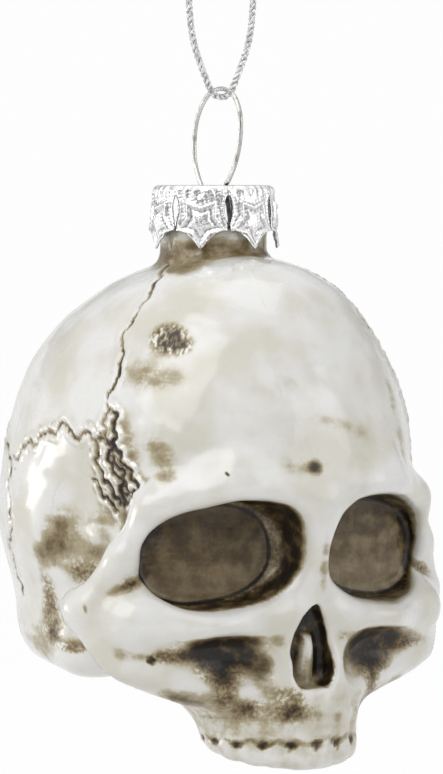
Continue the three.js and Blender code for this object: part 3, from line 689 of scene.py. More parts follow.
lumpy = 1 + 0.6 * np.sin(skin_z * 3.1 + skin_y * 2.3) * np.sin(skin_y * 3.7 - skin_z * 1.7)
lips = 0.2 * suture_lip * lumpy * swell(np.abs(suture) - 0.62, 0.34)
relief = lips - 0.3 * np.maximum(suture_depth, 0.5 * suture_lip) * swell(suture, 0.33)
relief += 0.55 * dabbed(left_half, (-21.0, -9.4, -7.9), (2.4, 1.5, 1.3))
relief += on_arch * below_gum * (0.3 * tooth - 0.18) - 0.12 * gum_groove - 0.3 * dot + 0.16 * root
relief += 0.05 * uneven(skull_points, 9, 11) + 0.02 * uneven(skull_points, 3.2, 12)
print("relief from", relief.min().round(2), "to", relief.max().round(2), "mm")


# %% The skin with its relief, put in its place
skull_points = skull_points + facing(skull_points, skull_form) * relief[:, None]
for vert, place in zip(skull_mesh.verts, skull_points):
    vert.co = Vector(place) * MM + SKULL_AT
skull_edges = edge_array(skull_mesh)
bmesh.ops.recalc_face_normals(skull_mesh, faces=skull_mesh.faces)
skull = from_bmesh("painted_glass_skull", skull_mesh)
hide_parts("skull_shell")
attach(skull, "skull")
print("skull faces", len(skull.data.polygons))

# %% [markdown]
# Cap
#
# The cap is thin sheet metal, stamped: a flat top whose edge rolls over into seven lobes, each with a
# puffed star, one tip down. Slots between the lobes let the cap spring over the glass. Each lobe starts
# as a flat grid, which is bent round the neck: its columns close in where a slot opens, its last row
# follows the star's tips, and the relief is pushed outward. The neighbours' edges meet above the slots
# and are welded there. A thickness modifier then turns the skin into sheet.

# %% Profile, slot and star of one lobe
LOBES, CAP_TURN = 7, math.radians(23)
CAP_TOP, CAP_HEIGHT, CAP_RADIUS, CAP_CORNER = -62.3, 8.15, 7.7, 0.7
PITCH = 2 * math.pi * CAP_RADIUS / LOBES
STAR_DEPTH, STAR_REACH, STAR_NOTCH = 4.65, 3.15, 1.9
SLOT_DEPTHS = [1.15, 1.35, 2.0, 2.9, 3.8, 4.6, 5.2, 6.4]
SLOT_HALVES = [0, 0.2, 0.44, 0.55, 0.47, 0.26, 0.17, 0.2]
FOOT_SHARES, FOOT_RISES = [0, 0.17, 0.4, 0.62, 0.8, 0.92, 1], [2.35, 2.25, 2.02, 1.5, 0.83, 0.22, 0]


def slot_half(depth):
    """Half of the gap between two lobes at a depth below the cap's top."""
    return np.interp(depth, SLOT_DEPTHS, SLOT_HALVES)


def lobe_foot(a):
    """Depth of the lobe's edge, at a from -1 to 1 across it: it follows the tips of the star."""
    return CAP_HEIGHT - np.interp(1 - np.abs(a), FOOT_SHARES, FOOT_RISES)


def star_distance(across, down):
    """Distance to a five-pointed star with one tip down, negative inside."""
    fifth = 2 * math.pi / 5
    turn = np.abs((np.arctan2(across, down) + fifth / 2) % fifth - fifth / 2)
    px, py = np.hypot(across, down) * np.sin(turn), np.hypot(across, down) * np.cos(turn)
    edge = np.array((STAR_NOTCH * math.sin(fifth / 2), STAR_NOTCH * math.cos(fifth / 2) - STAR_REACH))
    share = np.clip((px * edge[0] + (py - STAR_REACH) * edge[1]) / (edge @ edge), 0, 1)
    away = np.hypot(px - share * edge[0], py - STAR_REACH - share * edge[1])
    return np.where(edge[0] * (py - STAR_REACH) - edge[1] * px < 0, -away, away)


# %% A lobe's grid bent round the neck
def cap_point(a, row, lobe):
    """Places of the grid's points: row runs 0..1 over the flat top and 1..2 down the wall."""
    top = np.clip(row, 0, 1) * (CAP_RADIUS - CAP_CORNER + CAP_CORNER * math.pi / 2)
    bend = np.clip((top - CAP_RADIUS + CAP_CORNER) / CAP_CORNER, 0, math.pi / 2)
    radius = np.where(bend > 0, CAP_RADIUS - CAP_CORNER + CAP_CORNER * np.sin(bend), top)
    depth = CAP_CORNER * (1 - np.cos(bend)) + np.clip(row - 1, 0, 1) * (lobe_foot(a) - CAP_CORNER)
    half = PITCH / 2 - slot_half(depth)
    turn = CAP_TURN + (2 * math.pi * lobe + a * half * 2 * math.pi / PITCH) / LOBES
    star = star_distance(a * half, depth - STAR_DEPTH - 0.06 * math.sin(lobe * 2.3))
    to_side, to_foot = (1 - np.abs(a)) * half + 3 * (depth < 1.1), lobe_foot(a) - depth
    bulge = 0.25 * np.cos(a * math.pi / 2) * np.sin(math.pi * np.clip(depth / 6.3, 0, 1))
    out = 0.5 * (depth / CAP_HEIGHT) ** 2 + bulge
    outline = 0.2 * smooth_step(-star, -0.2, 0.15) + 0.17 * swell(star + 0.05, 0.2)
    out += outline - 0.2 * swell(star + 0.62, 0.24)
    puff = 0.12 * swell(np.hypot(a * half, depth - STAR_DEPTH), 0.9)
    out += puff + 0.2 * swell(to_side - 0.12, 0.22) * (depth > 1.1)
    out += 0.12 * swell(to_foot - 0.1, 0.2)
    crimp = np.sin(turn * 31 + 1.3 * np.sin(turn * 9 + lobe)) * swell(depth - 0.75, 0.65) * (row > 0.72)
    on_wall = np.sin(turn * 57 + depth * 5.1 + lobe) * np.sin(turn * 23 - depth * 7.7) * (row > 1)
    noise = on_wall + np.sin(row * 40 + 6 * a) * 0.2
    out += 0.14 * crimp + 0.045 * noise
    radius = radius + out * np.sin(bend)
    height = CAP_TOP - depth + 0.4 * out * np.cos(bend) * (row > 0.6)
    height = np.minimum(height, CAP_TOP + 0.12)
    return np.stack([radius * np.cos(turn), radius * np.sin(turn) + NECK_Y / MM, height], axis=1) * MM


def finished(piece, kind, **settings):
    """Adds a modifier, then makes its result the piece's own mesh."""
    modifier = piece.modifiers.new(kind, kind)
    for key, value in settings.items():
        setattr(modifier, key, value)
    bpy.context.view_layer.update()
    result = bpy.data.meshes.new_from_object(piece.evaluated_get(bpy.context.evaluated_depsgraph_get()))
    piece.modifiers.clear()
    piece.data = result
    return piece


# %% Seven lobes welded into one cap, with two holes for the wire
COLUMNS, ROWS = 44, 76
SHEET, HOLE_RADIUS, HOLE_OUT, WALL_BELOW = 0.28 * MM, 0.7 * MM, 3.15 * MM, -66 * MM
cap_mesh = bmesh.new()
for lobe in range(LOBES):
    patch = bmesh.ops.create_grid(cap_mesh, x_segments=COLUMNS, y_segments=ROWS, size=1)["verts"]
    flat = np.array([v.co[:] for v in patch])
    rows = np.interp(flat[:, 1], [-1, -0.64, -0.3, 1], [0, 0.88, 1, 2])
    for vert, place in zip(patch, cap_point(flat[:, 0], rows, lobe)):
        vert.co = place
bmesh.ops.remove_doubles(cap_mesh, verts=cap_mesh.verts[:], dist=0.012 * MM)
bmesh.ops.dissolve_degenerate(cap_mesh, edges=cap_mesh.edges[:], dist=0.001 * MM)
bmesh.ops.recalc_face_normals(cap_mesh, faces=cap_mesh.faces)
wall_faces = [f for f in cap_mesh.faces if f.calc_center_median().z < WALL_BELOW]
if sum(f.calc_center_median().xy.dot(f.normal.xy) for f in wall_faces) < 0:
    bmesh.ops.reverse_faces(cap_mesh, faces=cap_mesh.faces)
cap = finished(from_bmesh("star_cap", cap_mesh), "SOLIDIFY", thickness=SHEET, offset=-1)
for side in (-1, 1):
    drill = bmesh.new()
    hole_at = Matrix.Translation((0, NECK_Y + side * HOLE_OUT, CAP_TOP * MM))
    bmesh.ops.create_cone(drill, cap_ends=True, segments=32, radius1=HOLE_RADIUS, radius2=HOLE_RADIUS,
                          depth=3 * MM, matrix=hole_at)
    drill = from_bmesh("drill", drill)
    finished(cap, "BOOLEAN", operation="DIFFERENCE", object=drill, solver="EXACT")
    bpy.data.objects.remove(drill)
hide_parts("ornament_cap")
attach(cap, "hanger")
print("cap faces", len(cap.data.polygons))

# %% [markdown]
# Hanger
#
# One piece of round spring wire. Its eye leans forward a little, so that the glass hangs level. The
# legs pass through the cap's holes and spread inside the glass.

# %% The wire's route and the wire
wire_side = [
    (0, -49.9), (3.304, -50.789), (5.369, -53.202), (5.9, -56.25), (5.31, -59.171), (3.953, -61.457),
    (3.15, -62.3), (3.15, -63.05), (4.25, -66.8), (5.35, -73.95), (6.9, -75.9), (7.5, -78.3),
]
WIRE_RADIUS = 0.3 * MM
EYE_LEAN, EYE_HEIGHT = 2, 12.4
wire_route = [(-y, z) for y, z in reversed(wire_side[1:])] + wire_side
leaning = [(y - EYE_LEAN * max(z - CAP_TOP, 0) / EYE_HEIGHT, z) for y, z in wire_route]
wire_points = [Vector((0, NECK_Y + y * MM, z * MM)) for y, z in leaning]
wire_path, wire_length = smooth_path(wire_points, 260)
wire_mesh = bmesh.new()
wire_mesh.from_mesh(thread("wire", wire_path, WIRE_RADIUS))
bmesh.ops.recalc_face_normals(wire_mesh, faces=wire_mesh.faces)
wire = from_bmesh("spring_wire_hanger", wire_mesh)
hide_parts("hanger_wire")
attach(wire, "hanger")
print("wire", round(wire_length * 1000, 1), "mm long")

# %% [markdown]
# Finishes: how the wash is laid
#
# The painter wipes a dark brown wash over the pearly paint, and it stays where the cloth doesn't reach:
# in the sockets, the nose, the canine fossae, behind the cheekbones and in every groove. So the wash
# follows the shape. Shade is painted in with it too: the cap's shadow round the neck, the shadow at the
# top of each socket's plate, the shade under the cheeks' crests and a dark band beside the nose's bridge.
# The wash's strength is worked out once for every point of the skin and kept as an attribute, from three
# sources: how deep the carving lies under the plain bone, how hollow the skin is just there, and the
# places that the painter dabbed. The material only adds the brushwork.

# %% Hollowness of the skin at two sizes
def smoothed(points, edges, rounds):
    """The points after each has moved half way to its neighbours' middle, so many times."""
    size = len(points)
    a, b = edges.T
    count = np.bincount(a, minlength=size) + np.bincount(b, minlength=size)
    for _ in range(rounds):
        near = [neighbour_sum(edges, size, points[a, k], points[b, k]) for k in range(3)]
        points = (points + np.stack(near, axis=1) / count[:, None]) / 2
    return points


skin_facing = facing(skull_points, skull_form)
fine_hollow, wide_hollow = (
    ((smoothed(skull_points, skull_edges, rounds) - skull_points) * skin_facing).sum(axis=1)
    for rounds in (5, 60)
)
for values in (fine_hollow, wide_hollow):
    print("hollowness", np.percentile(values, [1, 50, 99]).round(3))

# %% Places that the painter dabbed, and a few dabs of painted shade
dabs = [
    # touch, on both sides, then the middle, reach and strength of each dab
    ("under", True, [
        ((-12.6, -23.6, -20.9), (3.9, 5, 1.9), 0.87), ((-9, -24.6, -21), (2.6, 5, 2), 0.84),
    ]),
    ("speckle", True, [
        ((-11.2, -23, -23.6), (2.7, 5, 2.2), 0.72), ((-10.6, -23.7, -26.2), (1.2, 4, 1.9), 0.6),
        ((-17.4, -22.3, -21.8), (2.4, 4, 0.8), 0.42), ((-22.1, 1.1, -18), (3, 1.5, 2.3), 0.48),
        ((-21.8, 0.4, -20.4), (3, 2, 1.3), 0.46), ((-22.7, 0.6, -14.8), (3, 1.4, 2), 0.24),
        ((-20.6, -2.8, -22.3), (3, 2.6, 0.9), 0.49), ((-21.5, -6.6, -12.5), (2.4, 2.2, 1.4), 0.3),
        ((-21.5, -18.4, -12.8), (0.9, 1.6, 0.9), 0.1),
    ]),
    ("smear", True, [
        # painted shade: the first smear on the next line darkens the underside below the cheek's crest
        ((-14.2, -20, -27.4), (3.8, 3, 1.4), 0.5), ((-23.3, -3.7, -7.3), (3, 2, 1.8), 0.3),
        ((-23.7, -2.5, -9.1), (3, 2.2, 1.5), 0.36), ((-24, -0.7, -10.6), (3, 2, 1.4), 0.34),
        ((-23.3, -5, -8.4), (3, 6, 4.6), 0.18), ((-20.8, -10.4, -6.1), (2, 1.6, 2.2), 0.12),
        ((-20.9, -8.8, -10.1), (2.2, 1.8, 2), 0.2), ((-18.4, 4, -22.6), (6, 7, 3.4), 0.3),
        ((-24.3, -17.6, -16.6), (1.1, 1.6, 1.2), 0.1), ((-23.5, -19.4, -16.2), (1.6, 2, 1.8), 0.1),
        ((-23.4, -5.2, -18.4), (2.4, 2, 2.4), 0.55), ((-22, -18.4, -9.4), (1.2, 1.8, 2), 0.15),
    ]),
    ("smear", False, [
        ((-6, -25.5, -24.8), (0.9, 3, 2.6), 0.3), ((0, -12, -31), (7, 5, 5), 0.4),
        ((-18.2, -15.8, 13.4), (2.6, 3, 2.4), 0.16), ((-17.5, -18.4, 12.2), (2.4, 3, 1.3), 0.2),
        ((-16, -20, 13), (2, 3, 1.3), 0.14), ((-18.6, -20, 4.4), (1.8, 2, 1.9), 0.17),
        ((-17.8, -21.5, 0.4), (1, 1.6, 0.9), 0.42), ((-17.7, -21, 2.9), (1.4, 2, 1.6), 0.2),
        ((-2, -30.6, 1.6), (0.8, 2, 0.68), 0.95), ((-3.8, -30.3, 1.8), (2.8, 2.4, 1.5), 0.16),
        ((-5.8, -27.8, 11.7), (4.2, 3, 1.6), 0.1), ((2.2, -29.8, 6.9), (3.6, 3, 1), 0.14),
        ((-1.4, -29.8, 7.6), (2.6, 3, 0.8), 0.11), ((5.4, -29.4, 5.7), (3, 3, 1.1), 0.12),
        ((5.7, -29.9, 2.4), (1.6, 3, 2), 0.09), ((13.2, -24.6, 9.6), (1.1, 3, 2.6), 0.19),
        # painted shade: the last dab on the next line is a dark band of shade beside the bridge of the nose
        ((14, -25.8, 3.4), (1.2, 3, 3.2), 0.2), ((0.6, -28.2, -10), (0.9, 3, 5), 0.26),
        ((-7.7, -8.3, 26.2), (3.6, 3.2, 1.5), 0.42), ((-6.4, -2.1, 26.5), (2.8, 3, 1.3), 0.4),
        ((-10, 20, 15), (3.5, 4, 2), 0.17), ((5, 26, -8), (4.5, 3.5, 2.2), 0.24),
    ]),
    ("speckle", False, [
        ((-3.4, -27.7, -26.7), (2.2, 3, 1.1), 0.42), ((-3.6, -27.6, -28.9), (2.3, 3, 1.1), 0.66),
        ((-8, -25, -28.7), (1.3, 3, 1.1), 0.5), ((9.5, -23.5, -29.6), (1.9, 3.2, 1.3), 0.3),
        ((16.5, 8, 16), (3.5, 3.5, 2.2), 0.3), ((0, 12, -25.8), (12, 12, 2.5), 0.22),
    ]),
    ("scratch", False, [
        ((-15.1, -17.4, 17.3), (1.9, 2.6, 1.7), 0.74), ((-14.6, -18.9, 16.6), (1.2, 2, 1), 0.5),
    ]),
]
pits = [
    # middle, radius: black dots where bubbles broke
    ((-12.8, -28.0, 1.2), 0.24), ((-19.6, -20.9, -22.4), 0.5), ((-26.0, -15.6, -15.9), 0.3),
    ((11.0, -25.2, -19.4), 0.3), ((15.0, -23.2, -19.0), 0.26), ((-15.2, -23.6, -19.1), 0.24),
    ((-6.0, -26.4, -17.3), 0.26), ((17.5, -20.8, -22.0), 0.34), ((-2.6, -29.5, 17.6), 0.2),
    ((20.0, 3.0, -6.0), 0.36), ((8.0, 27.5, 3.0), 0.34),
    ((-14.5, 23.0, -3.0), 0.4), ((12.0, 12.0, 21.0), 0.3),
]


depth = -bone_form(skull_points)
bare = 1 - smooth_step(depth, 0.25, 2.2)
touches = {"scratch": np.zeros(len(skull_points)), "speckle": np.zeros(len(skull_points))}
for touch, both, spots in dabs:
    for middle, reach, strength in spots:
        spot = dabbed(skull_points, middle, reach)
        if both:
            spot = np.maximum(spot, 0.93 * dabbed(mirrored_points, middle, reach))
        if touch == "under":
            spot = spot * smooth_step(middle[2] + reach[2] - skin_z, 0, 0.7)
        if touch in touches:
            touches[touch] = np.maximum(touches[touch], smooth_step(spot, 0.05, 0.5))
        bare *= 1 - strength * spot
for middle, radius in pits:
    away = np.linalg.norm(skull_points - np.array(middle), axis=1)
    bare *= 1 - 0.97 * smooth_step(-away, -radius * 1.25, -radius * 0.6)

# %% The wash in the sockets, the nose and the grooves, and the painted shade on the plates and round the neck
# painted shadow: the neck just under the cap, where the cap's shadow falls
cap_shadow_on_neck = smooth_step(skin_z, 25.6, 27.2) * smooth_step(-np.hypot(skin_x, skin_y + NECK_BACK), -10.5, -7.6)
flat_x = np.abs(skin_x)
across, rise, near = socket_place(flat_x, skin_z)
plate_edge = beyond_plate(across, rise)
in_socket = smooth_step(depth, 0.7, 1.8) * smooth_step(-near, -1.12, -0.98) * smooth_step(-skin_y, 12, 14)
out_of_socket = 1 - in_socket
on_plate = in_socket * smooth_step(-plate_edge, -0.3, 0.2)
nose_rise = (skin_z - NOSE_MIDDLE) / NOSE_REACH
in_nose = smooth_step(depth, 0.3, 0.8) * (flat_x < 4.2) * (np.abs(nose_rise) < 1.3)
in_nose = in_nose * smooth_step(skin_z, -26.9, -26.1) * (skin_y < -19)
on_septum = smooth_step(septum_half(nose_rise) - flat_x, -0.3, 0.15) * smooth_step(-skin_y, 22, 23.5)
on_septum = on_septum * smooth_step(skin_z, -27.6, -26.0)
lip = suture_lip * swell(np.abs(suture) - 0.8, 0.4)

wash = 1 - bare
socket_wash = 0.48 + 0.08 * np.sin(skin_z * 1.9 + skin_y) - 0.1 * smooth_step(-skin_z, 13.0, 15.2)
wash += (socket_wash - wash) * in_socket
# the plate's wash, with painted shadow that darkens it towards its top under the brow; it is a little lighter
# in the socket on the +X side
plate_wash_and_shadow = 0.59 + 0.12 * np.clip((skin_z + 9.0) / 5, -1, 1) - 0.06 * (skin_x > 0)
wash += (plate_wash_and_shadow - wash) * on_plate
cheek_crease = dabbed(left_half, (-22.3, -18.2, -13.8), (2.4, 2.4, 1.8))
in_grooves = 2.6 * np.clip(fine_hollow, 0, 0.2) * out_of_socket * (1 - 0.85 * cheek_crease)
wash += in_grooves + 0.55 * np.clip(wide_hollow - 0.12, 0, 0.6) * out_of_socket
wash += (0.95 - wash) * in_nose * (1 - on_septum)
wash += (0.28 + 0.3 * smooth_step(nose_rise, 0.1, 0.45) - wash) * on_septum
# the cap's shadow on the neck is painted in as a brown wash of 0.4
wash += (0.4 - wash) * cap_shadow_on_neck + 0.14 * on_arch * (1 - wash)
gum_line = 0.1 * gum_groove * smooth_step(np.sin(skin_x * 2.1 + 1.0), -0.6, 0.9)
wash += in_ridges * (0.42 - 0.3 * lip) + 0.8 * dot + gum_line
wash = np.clip(wash - 0.6 * np.clip(-wide_hollow - 0.1, 0, 0.5) * out_of_socket, 0, 1)
wash = np.maximum(wash, 0.1 * on_arch)
silver = np.clip(0.55 * in_ridges * lip, 0, 1)
speckle = np.maximum(0.8 * touches["speckle"], 0.35 * (in_socket - on_plate))


def keep_values(piece, **columns):
    """Keeps one number for each point of the piece under each name."""
    for name, values in columns.items():
        column = piece.data.attributes.new(name, "FLOAT", "POINT")
        column.data.foreach_set("value", np.asarray(values, np.float32))


keep_values(skull, wash=wash, calm=on_plate, scratch=touches["scratch"], speckle=speckle, silver=silver,
            suture=suture, suture_depth=suture_depth, plate_edge=np.where(in_socket > 0.5, plate_edge, 3))
print("washed share of the points", round(float((wash > 0.5).mean()), 2))

# %% [markdown]
# Finishes: node groups
#
# Two effects are node groups: the antique wash, which breaks a smooth strength into brushed, speckled
# brown, and the fine wear, which every material uses and which varies gloss and surface by a little.
# They hand out colours and numbers only, and each material keeps its own shader.

# %% Short ways to add nodes
def plug(tree, sockets, values):
    """Feeds sockets from numbers or from other sockets."""
    for key, value in values.items():
        if isinstance(value, bpy.types.NodeSocket):
            tree.links.new(value, sockets[key])
        else:
            sockets[key].default_value = value


def node(tree, kind, inputs=(), **settings):
    """Adds a node, sets its options, and feeds its sockets."""
    made = tree.nodes.new("ShaderNode" + kind)
    for key, value in settings.items():
        setattr(made, key, value)
    plug(tree, made.inputs, dict(inputs))
    return made


def calc(tree, operation, *values, clamp=False):
    return node(tree, "Math", enumerate(values), operation=operation, use_clamp=clamp).outputs[0]


def step_up(tree, value, low, high, to_low=0.0, to_high=1.0):
    """Turns a value that goes from low to high softly into to_low to to_high."""
    inputs = {"Value": value, "From Min": low, "From Max": high, "To Min": to_low, "To Max": to_high}
    return node(tree, "MapRange", inputs, interpolation_type="SMOOTHSTEP").outputs["Result"]


def mottle(tree, scale, detail=3.0, stretch=None):
    """Noise over the piece's own space, with so many features to the metre."""
    place = node(tree, "TexCoord").outputs["Object"]
    if stretch:
        place = node(tree, "Mapping", {"Vector": place, "Scale": stretch}).outputs["Vector"]
    return node(tree, "TexNoise", {"Vector": place, "Scale": scale, "Detail": detail}).outputs["Fac"]


def mixed(tree, share, a, b):
    """A colour between two."""
    return node(tree, "Mix", {0: share, 6: a, 7: b}, data_type="RGBA").outputs[2]


def kept(tree, name):
    return node(tree, "Attribute", attribute_name=name).outputs["Fac"]


def group(name, inputs, outputs):
    """An empty node group with the given sockets."""
    tree = bpy.data.node_groups.new(name, "ShaderNodeTree")
    for direction, sockets in (("INPUT", inputs), ("OUTPUT", outputs)):
        for socket, kind in sockets:
            tree.interface.new_socket(name=socket, in_out=direction, socket_type="NodeSocket" + kind)
    start, end = tree.nodes.new("NodeGroupInput"), tree.nodes.new("NodeGroupOutput")
    return tree, start.outputs, end.inputs


def use(tree, effect, inputs):
    return node(tree, "Group", inputs, node_tree=effect).outputs


def colour_ramp(tree, value, stops):
    made = node(tree, "ValToRGB", {"Fac": value})
    ramp = made.color_ramp
    for place, colour in stops[2:]:
        ramp.elements.new(place)
    for element, (place, colour) in zip(ramp.elements, stops):
        element.position = place
        element.color = (*colour, 1)
    return made.outputs["Color"]


# %% The antique wash
antique, start, end = group(
    "antique_wash",
    [("Wash", "Float"), ("Calm", "Float"), ("Scratch", "Float"), ("Speckle", "Float")],
    [("Colour", "Color"), ("Amount", "Float"), ("Grain", "Float")],
)
broad, brushed, speck = mottle(antique, 130), mottle(antique, 520, 5.0), mottle(antique, 2300, 2.0)
smeared = mottle(antique, 760, 4.0, (0.22, 0.22, 1.0))
scratched = mottle(antique, 2000, 3.0, (1.0, 1.0, 0.3))
lively = calc(antique, "MULTIPLY_ADD", start["Calm"], -0.5, 1.0)
spread = calc(antique, "MULTIPLY", step_up(antique, start["Wash"], 0.03, 0.28), lively)
brushing = calc(antique, "MULTIPLY_ADD", step_up(antique, brushed, 0.3, 0.7, -0.32, 0.32), lively, 1.0)
uneven_wash = calc(antique, "MULTIPLY", start["Wash"], brushing)
smears = step_up(antique, smeared, 0.3, 0.7, -0.08, 0.08)
scratches = step_up(antique, scratched, 0.36, 0.64, -0.34, 0.24)
strokes = node(antique, "Mix", {0: start["Scratch"], 2: smears, 3: scratches}).outputs[0]
speck_depth = calc(antique, "MULTIPLY_ADD", start["Speckle"], 0.22, 0.07)
specks = calc(antique, "MULTIPLY", step_up(antique, speck, 0.3, 0.7, -0.5, 0.5), speck_depth)
both = calc(antique, "ADD", strokes, specks)
amount = calc(antique, "MULTIPLY_ADD", both, spread, uneven_wash, clamp=True)
tint = step_up(antique, broad, 0.38, 0.66)
tinted = mixed(antique, tint, (0.84, 0.835, 0.815, 1), (0.71, 0.69, 0.60, 1))
stain = colour_ramp(antique, amount, [
    (0.0, (0.68, 0.65, 0.53)), (0.2, (0.44, 0.38, 0.245)), (0.4, (0.235, 0.175, 0.088)),
    (0.6, (0.098, 0.064, 0.026)), (0.8, (0.034, 0.021, 0.009)), (1.0, (0.010, 0.007, 0.004)),
])
antique.links.new(mixed(antique, step_up(antique, amount, 0.02, 0.22), tinted, stain), end["Colour"])
antique.links.new(amount, end["Amount"])
antique.links.new(speck, end["Grain"])

# %% Fine wear
wear, start, end = group(
    "fine_wear",
    [("Scale", "Float"), ("Low", "Float"), ("High", "Float")],
    [("Gloss", "Float"), ("Surface", "Float")],
)
smear = mottle(wear, start["Scale"], 4.0)
fine = mottle(wear, calc(wear, "MULTIPLY", start["Scale"], 7.0), 2.0)
gloss = {"Value": smear, "From Min": 0.3, "From Max": 0.7, "To Min": start["Low"], "To Max": start["High"]}
gloss = node(wear, "MapRange", gloss).outputs["Result"]
wear.links.new(gloss, end["Gloss"])
wear.links.new(fine, end["Surface"])


# %% [markdown]
# Finishes: the materials
#
# The paint is pearly and glossy under a clear coat, so its highlights stay white. The coat thins over
# the wash, which goes dull. The cap, the wire and the cord are metal, which shows mostly what stands
# round it; their own detail is painted shade in the cap's creases, drawn scratches, and the change of
# gloss from ply to ply.

# %% Material of the glass skull
def material(name, piece):
    """A new material, the only one of its piece: its nodes and its shader."""
    made = bpy.data.materials.new(name)
    made.use_nodes = True
    piece.data.materials.clear()
    piece.data.materials.append(made)
    return made.node_tree, made.node_tree.nodes["Principled BSDF"]


def feed(tree, shader, **inputs):
    names = {key.replace("_", " ").title().replace("Ior", "IOR"): value for key, value in inputs.items()}
    plug(tree, shader.inputs, names)


def bump(tree, height, depth):
    return node(tree, "Bump", {"Height": height, "Distance": depth, "Strength": 1.0}).outputs["Normal"]


paint, shader = material("pearl_paint_with_antique_wash", skull)
blotch = step_up(paint, mottle(paint, 330), 0.42, 0.6)
frayed = calc(paint, "MULTIPLY_ADD", mottle(paint, 1500), 0.3, calc(paint, "ABSOLUTE", kept(paint, "suture")))
line = step_up(paint, frayed, 0.12, calc(paint, "MULTIPLY_ADD", blotch, 0.34, 0.26), 1.0, 0.0)
faint = calc(paint, "MULTIPLY_ADD", blotch, 0.6, 0.4)
line = calc(paint, "MULTIPLY", line, calc(paint, "MULTIPLY", kept(paint, "suture_depth"), faint))
from_rim = calc(paint, "ABSOLUTE", calc(paint, "SUBTRACT", kept(paint, "plate_edge"), 0.12))
rim = step_up(paint, from_rim, 0.05, 0.32, 0.5, 0.0)
laid = calc(paint, "MULTIPLY_ADD", line, 0.9, calc(paint, "ADD", kept(paint, "wash"), rim), clamp=True)
touch = {name.title(): kept(paint, name) for name in ("calm", "scratch", "speckle")}
washed = use(paint, antique, {"Wash": laid, **touch})
worn = use(paint, wear, {"Scale": 260.0, "Low": 0.22, "High": 0.36})
bared = step_up(paint, washed["Amount"], 0.35, 0.7, 1.0, 0.15)
silvered = calc(paint, "MULTIPLY", kept(paint, "silver"), bared)
thinned = step_up(paint, washed["Amount"], 0.1, 0.6)
feed(
    paint, shader, base_color=mixed(paint, silvered, washed["Colour"], (0.78, 0.76, 0.70, 1)),
    metallic=calc(paint, "MULTIPLY", silvered, 0.9), specular_ior_level=0.25,
    roughness=calc(paint, "MULTIPLY_ADD", washed["Amount"], 0.22, worn["Gloss"]),
    coat_weight=calc(paint, "MULTIPLY_ADD", thinned, -0.62, 0.95), coat_roughness=0.12,
)
height = calc(paint, "MULTIPLY_ADD", line, -1.0, calc(paint, "MULTIPLY", worn["Surface"], 0.12))
height = calc(paint, "MULTIPLY_ADD", calc(paint, "MULTIPLY", washed["Grain"], washed["Amount"]), 0.35, height)
feed(paint, shader, normal=bump(paint, height, 0.16 * MM))

# %% Materials of the cap, the wire and the cord
cap_points = np.array([v.co[:] for v in cap.data.vertices]) / MM
cap_edges = np.array([e.vertices[:] for e in cap.data.edges])
cap_facing = np.array([n.vector[:] for n in cap.data.vertex_normals])
cap_hollow = ((smoothed(cap_points, cap_edges, 6) - cap_points) * cap_facing).sum(axis=1)
# painted shade: the cap's creases darken by how hollow they are
keep_values(cap, tarnish=np.clip(cap_hollow * 16, 0, 1))
print("tarnished share of the cap", round(float((cap_hollow > 0.03).mean()), 2))

silver_cap, shader = material("stamped_silver_cap", cap)
worn = use(silver_cap, wear, {"Scale": 500.0, "Low": 0.14, "High": 0.34})
patchy = step_up(silver_cap, mottle(silver_cap, 900), 0.3, 0.6, 0.55, 1.0)
# the painted crease shade, in patches, darkens and dulls the cap's creases
tarnish = calc(silver_cap, "MULTIPLY", kept(silver_cap, "tarnish"), patchy)
feed(
    silver_cap, shader, metallic=1.0,
    base_color=mixed(silver_cap, tarnish, (0.86, 0.86, 0.87, 1), (0.17, 0.17, 0.18, 1)),
    roughness=calc(silver_cap, "MULTIPLY_ADD", tarnish, 0.2, worn["Gloss"]),
    normal=bump(silver_cap, worn["Surface"], 0.07 * MM),
)

steel, shader = material("drawn_steel_wire", wire)
worn = use(steel, wear, {"Scale": 700.0, "Low": 0.2, "High": 0.42})
spots = step_up(steel, mottle(steel, 1100), 0.5, 0.72)
feed(
    steel, shader, base_color=mixed(steel, spots, (0.56, 0.545, 0.52, 1), (0.33, 0.31, 0.285, 1)),
    metallic=1.0, roughness=worn["Gloss"], normal=bump(steel, worn["Surface"], 0.03 * MM),
)

for piece in (cord, knot):
    thread_tree, shader = material(piece.name + "_metallic_thread", piece)
    worn = use(thread_tree, wear, {"Scale": 1600.0, "Low": 0.25, "High": 0.6})
    glint = step_up(thread_tree, mottle(thread_tree, 2400, 1.0), 0.4, 0.62)
    feed(
        thread_tree, shader, metallic=0.75, roughness=worn["Gloss"],
        base_color=mixed(thread_tree, glint, (0.50, 0.50, 0.51, 1), (0.86, 0.86, 0.87, 1)),
        normal=bump(thread_tree, worn["Surface"], 0.05 * MM),
    )
print("materials:", [m.name for m in bpy.data.materials])

# %% [markdown]
# Studio
#
# A white floor that curves up behind the ornament, like the paper roll of a product photographer. The
# paper glows towards the camera, so the background stays clean. Big soft lamps keep the glass's
# highlights broad, and the sky is brighter overhead and at both sides, for the reflections.

# %% Floor, lamps and world
CURVE_START, CURVE_RADIUS, FLOOR_BELOW = 0.9, 0.35, 40 * MM
floor_mesh = bmesh.new()
bmesh.ops.create_grid(floor_mesh, x_segments=2, y_segments=60, size=1.5)
for vert in floor_mesh.verts:
    turn = max(vert.co.y - CURVE_START, 0) / CURVE_RADIUS
    if turn > 0:
        above = max(turn - math.pi / 2, 0) * CURVE_RADIUS
        vert.co.z = CURVE_RADIUS * (1 - math.cos(min(turn, math.pi / 2))) + above
        vert.co.y = CURVE_START + CURVE_RADIUS * math.sin(min(turn, math.pi / 2))
    vert.co.z += cad_box[0][2] - FLOOR_BELOW
floor = from_bmesh("floor", floor_mesh)
floor.data.transform(Matrix.Rotation(VIEW_TURN, 4, "Z"))

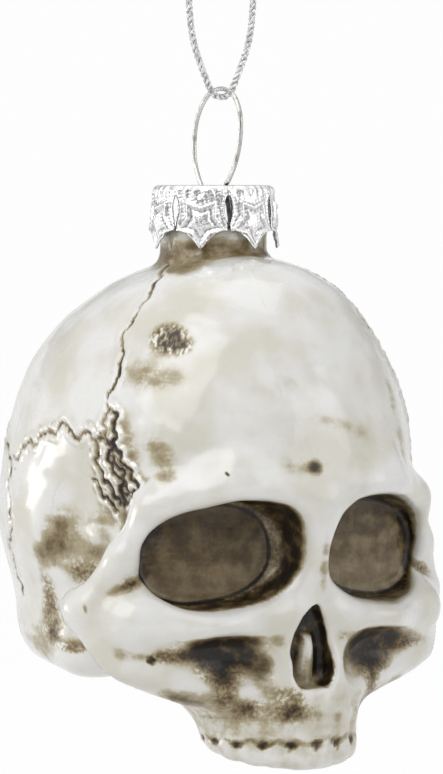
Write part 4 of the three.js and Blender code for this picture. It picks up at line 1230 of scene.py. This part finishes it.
paper, shader = material("white_paper", floor)
grain = use(paper, wear, {"Scale": 40.0, "Low": 0.8, "High": 0.95})
feed(paper, shader, base_color=(0.9, 0.9, 0.9, 1), roughness=grain["Gloss"], specular_ior_level=0.1)
def reflected(tree, path):
    """1 for rays that come by way of a mirror or through glass."""
    return calc(tree, "MAXIMUM", path["Is Glossy Ray"], path["Is Transmission Ray"])


path = node(paper, "LightPath").outputs
in_mirror = calc(paper, "MULTIPLY", reflected(paper, path), 0.6)
seen = calc(paper, "MAXIMUM", path["Is Camera Ray"], in_mirror)
glow = node(paper, "Emission", {"Color": (1, 1, 1, 1), "Strength": 1.0}).outputs[0]
share = calc(paper, "MULTIPLY", seen, 0.97)
both = node(paper, "MixShader", {0: share, 1: shader.outputs[0], 2: glow}).outputs[0]
paper.links.new(both, paper.nodes["Material Output"].inputs["Surface"])

world = bpy.data.worlds.new("studio")
world.use_nodes = True
scene.world = world
sky = world.node_tree
path = node(sky, "LightPath").outputs
way = node(sky, "TexCoord").outputs["Generated"]
above = step_up(sky, node(sky, "SeparateXYZ", {"Vector": way}).outputs["Z"], 0.1, 0.75, 0.22, 1.0)
facing_side = node(sky, "VectorMath", {0: way, 1: right}, operation="DOT_PRODUCT").outputs["Value"]
beside = step_up(sky, calc(sky, "ABSOLUTE", facing_side), 0.6, 0.9, 0.22, 1.0)
studio = calc(sky, "MAXIMUM", above, beside)
bright = calc(sky, "MULTIPLY_ADD", calc(sky, "SUBTRACT", studio, 0.4), reflected(sky, path), 0.4)
bright = calc(sky, "MAXIMUM", bright, path["Is Camera Ray"])
sky.links.new(bright, sky.nodes["Background"].inputs["Strength"])
sky.nodes["Background"].inputs["Color"].default_value = (1, 1, 1, 1)


def lamp(name, place, size, watts):
    """A square soft lamp that faces the ornament."""
    light = bpy.data.lights.new(name, "AREA")
    light.size, light.energy = size, watts
    holder = bpy.data.objects.new(name, light)
    scene.collection.objects.link(holder)
    away = back * place[1] + right * place[0] + Vector((0, 0, 1)) * place[2]
    holder.location = SKULL_AT + away
    holder.rotation_mode = "QUATERNION"
    holder.rotation_quaternion = away.to_track_quat("Z", "Y")


lamp("key", (-0.5, 0.45, 0.55), 0.7, 3.4)
lamp("fill", (0.7, 0.45, 0.15), 0.6, 1.5)
lamp("top", (0.0, -0.1, 0.8), 0.6, 1.2)
lamp("window", (-0.86, -0.2, -0.1), 0.42, 2.3)
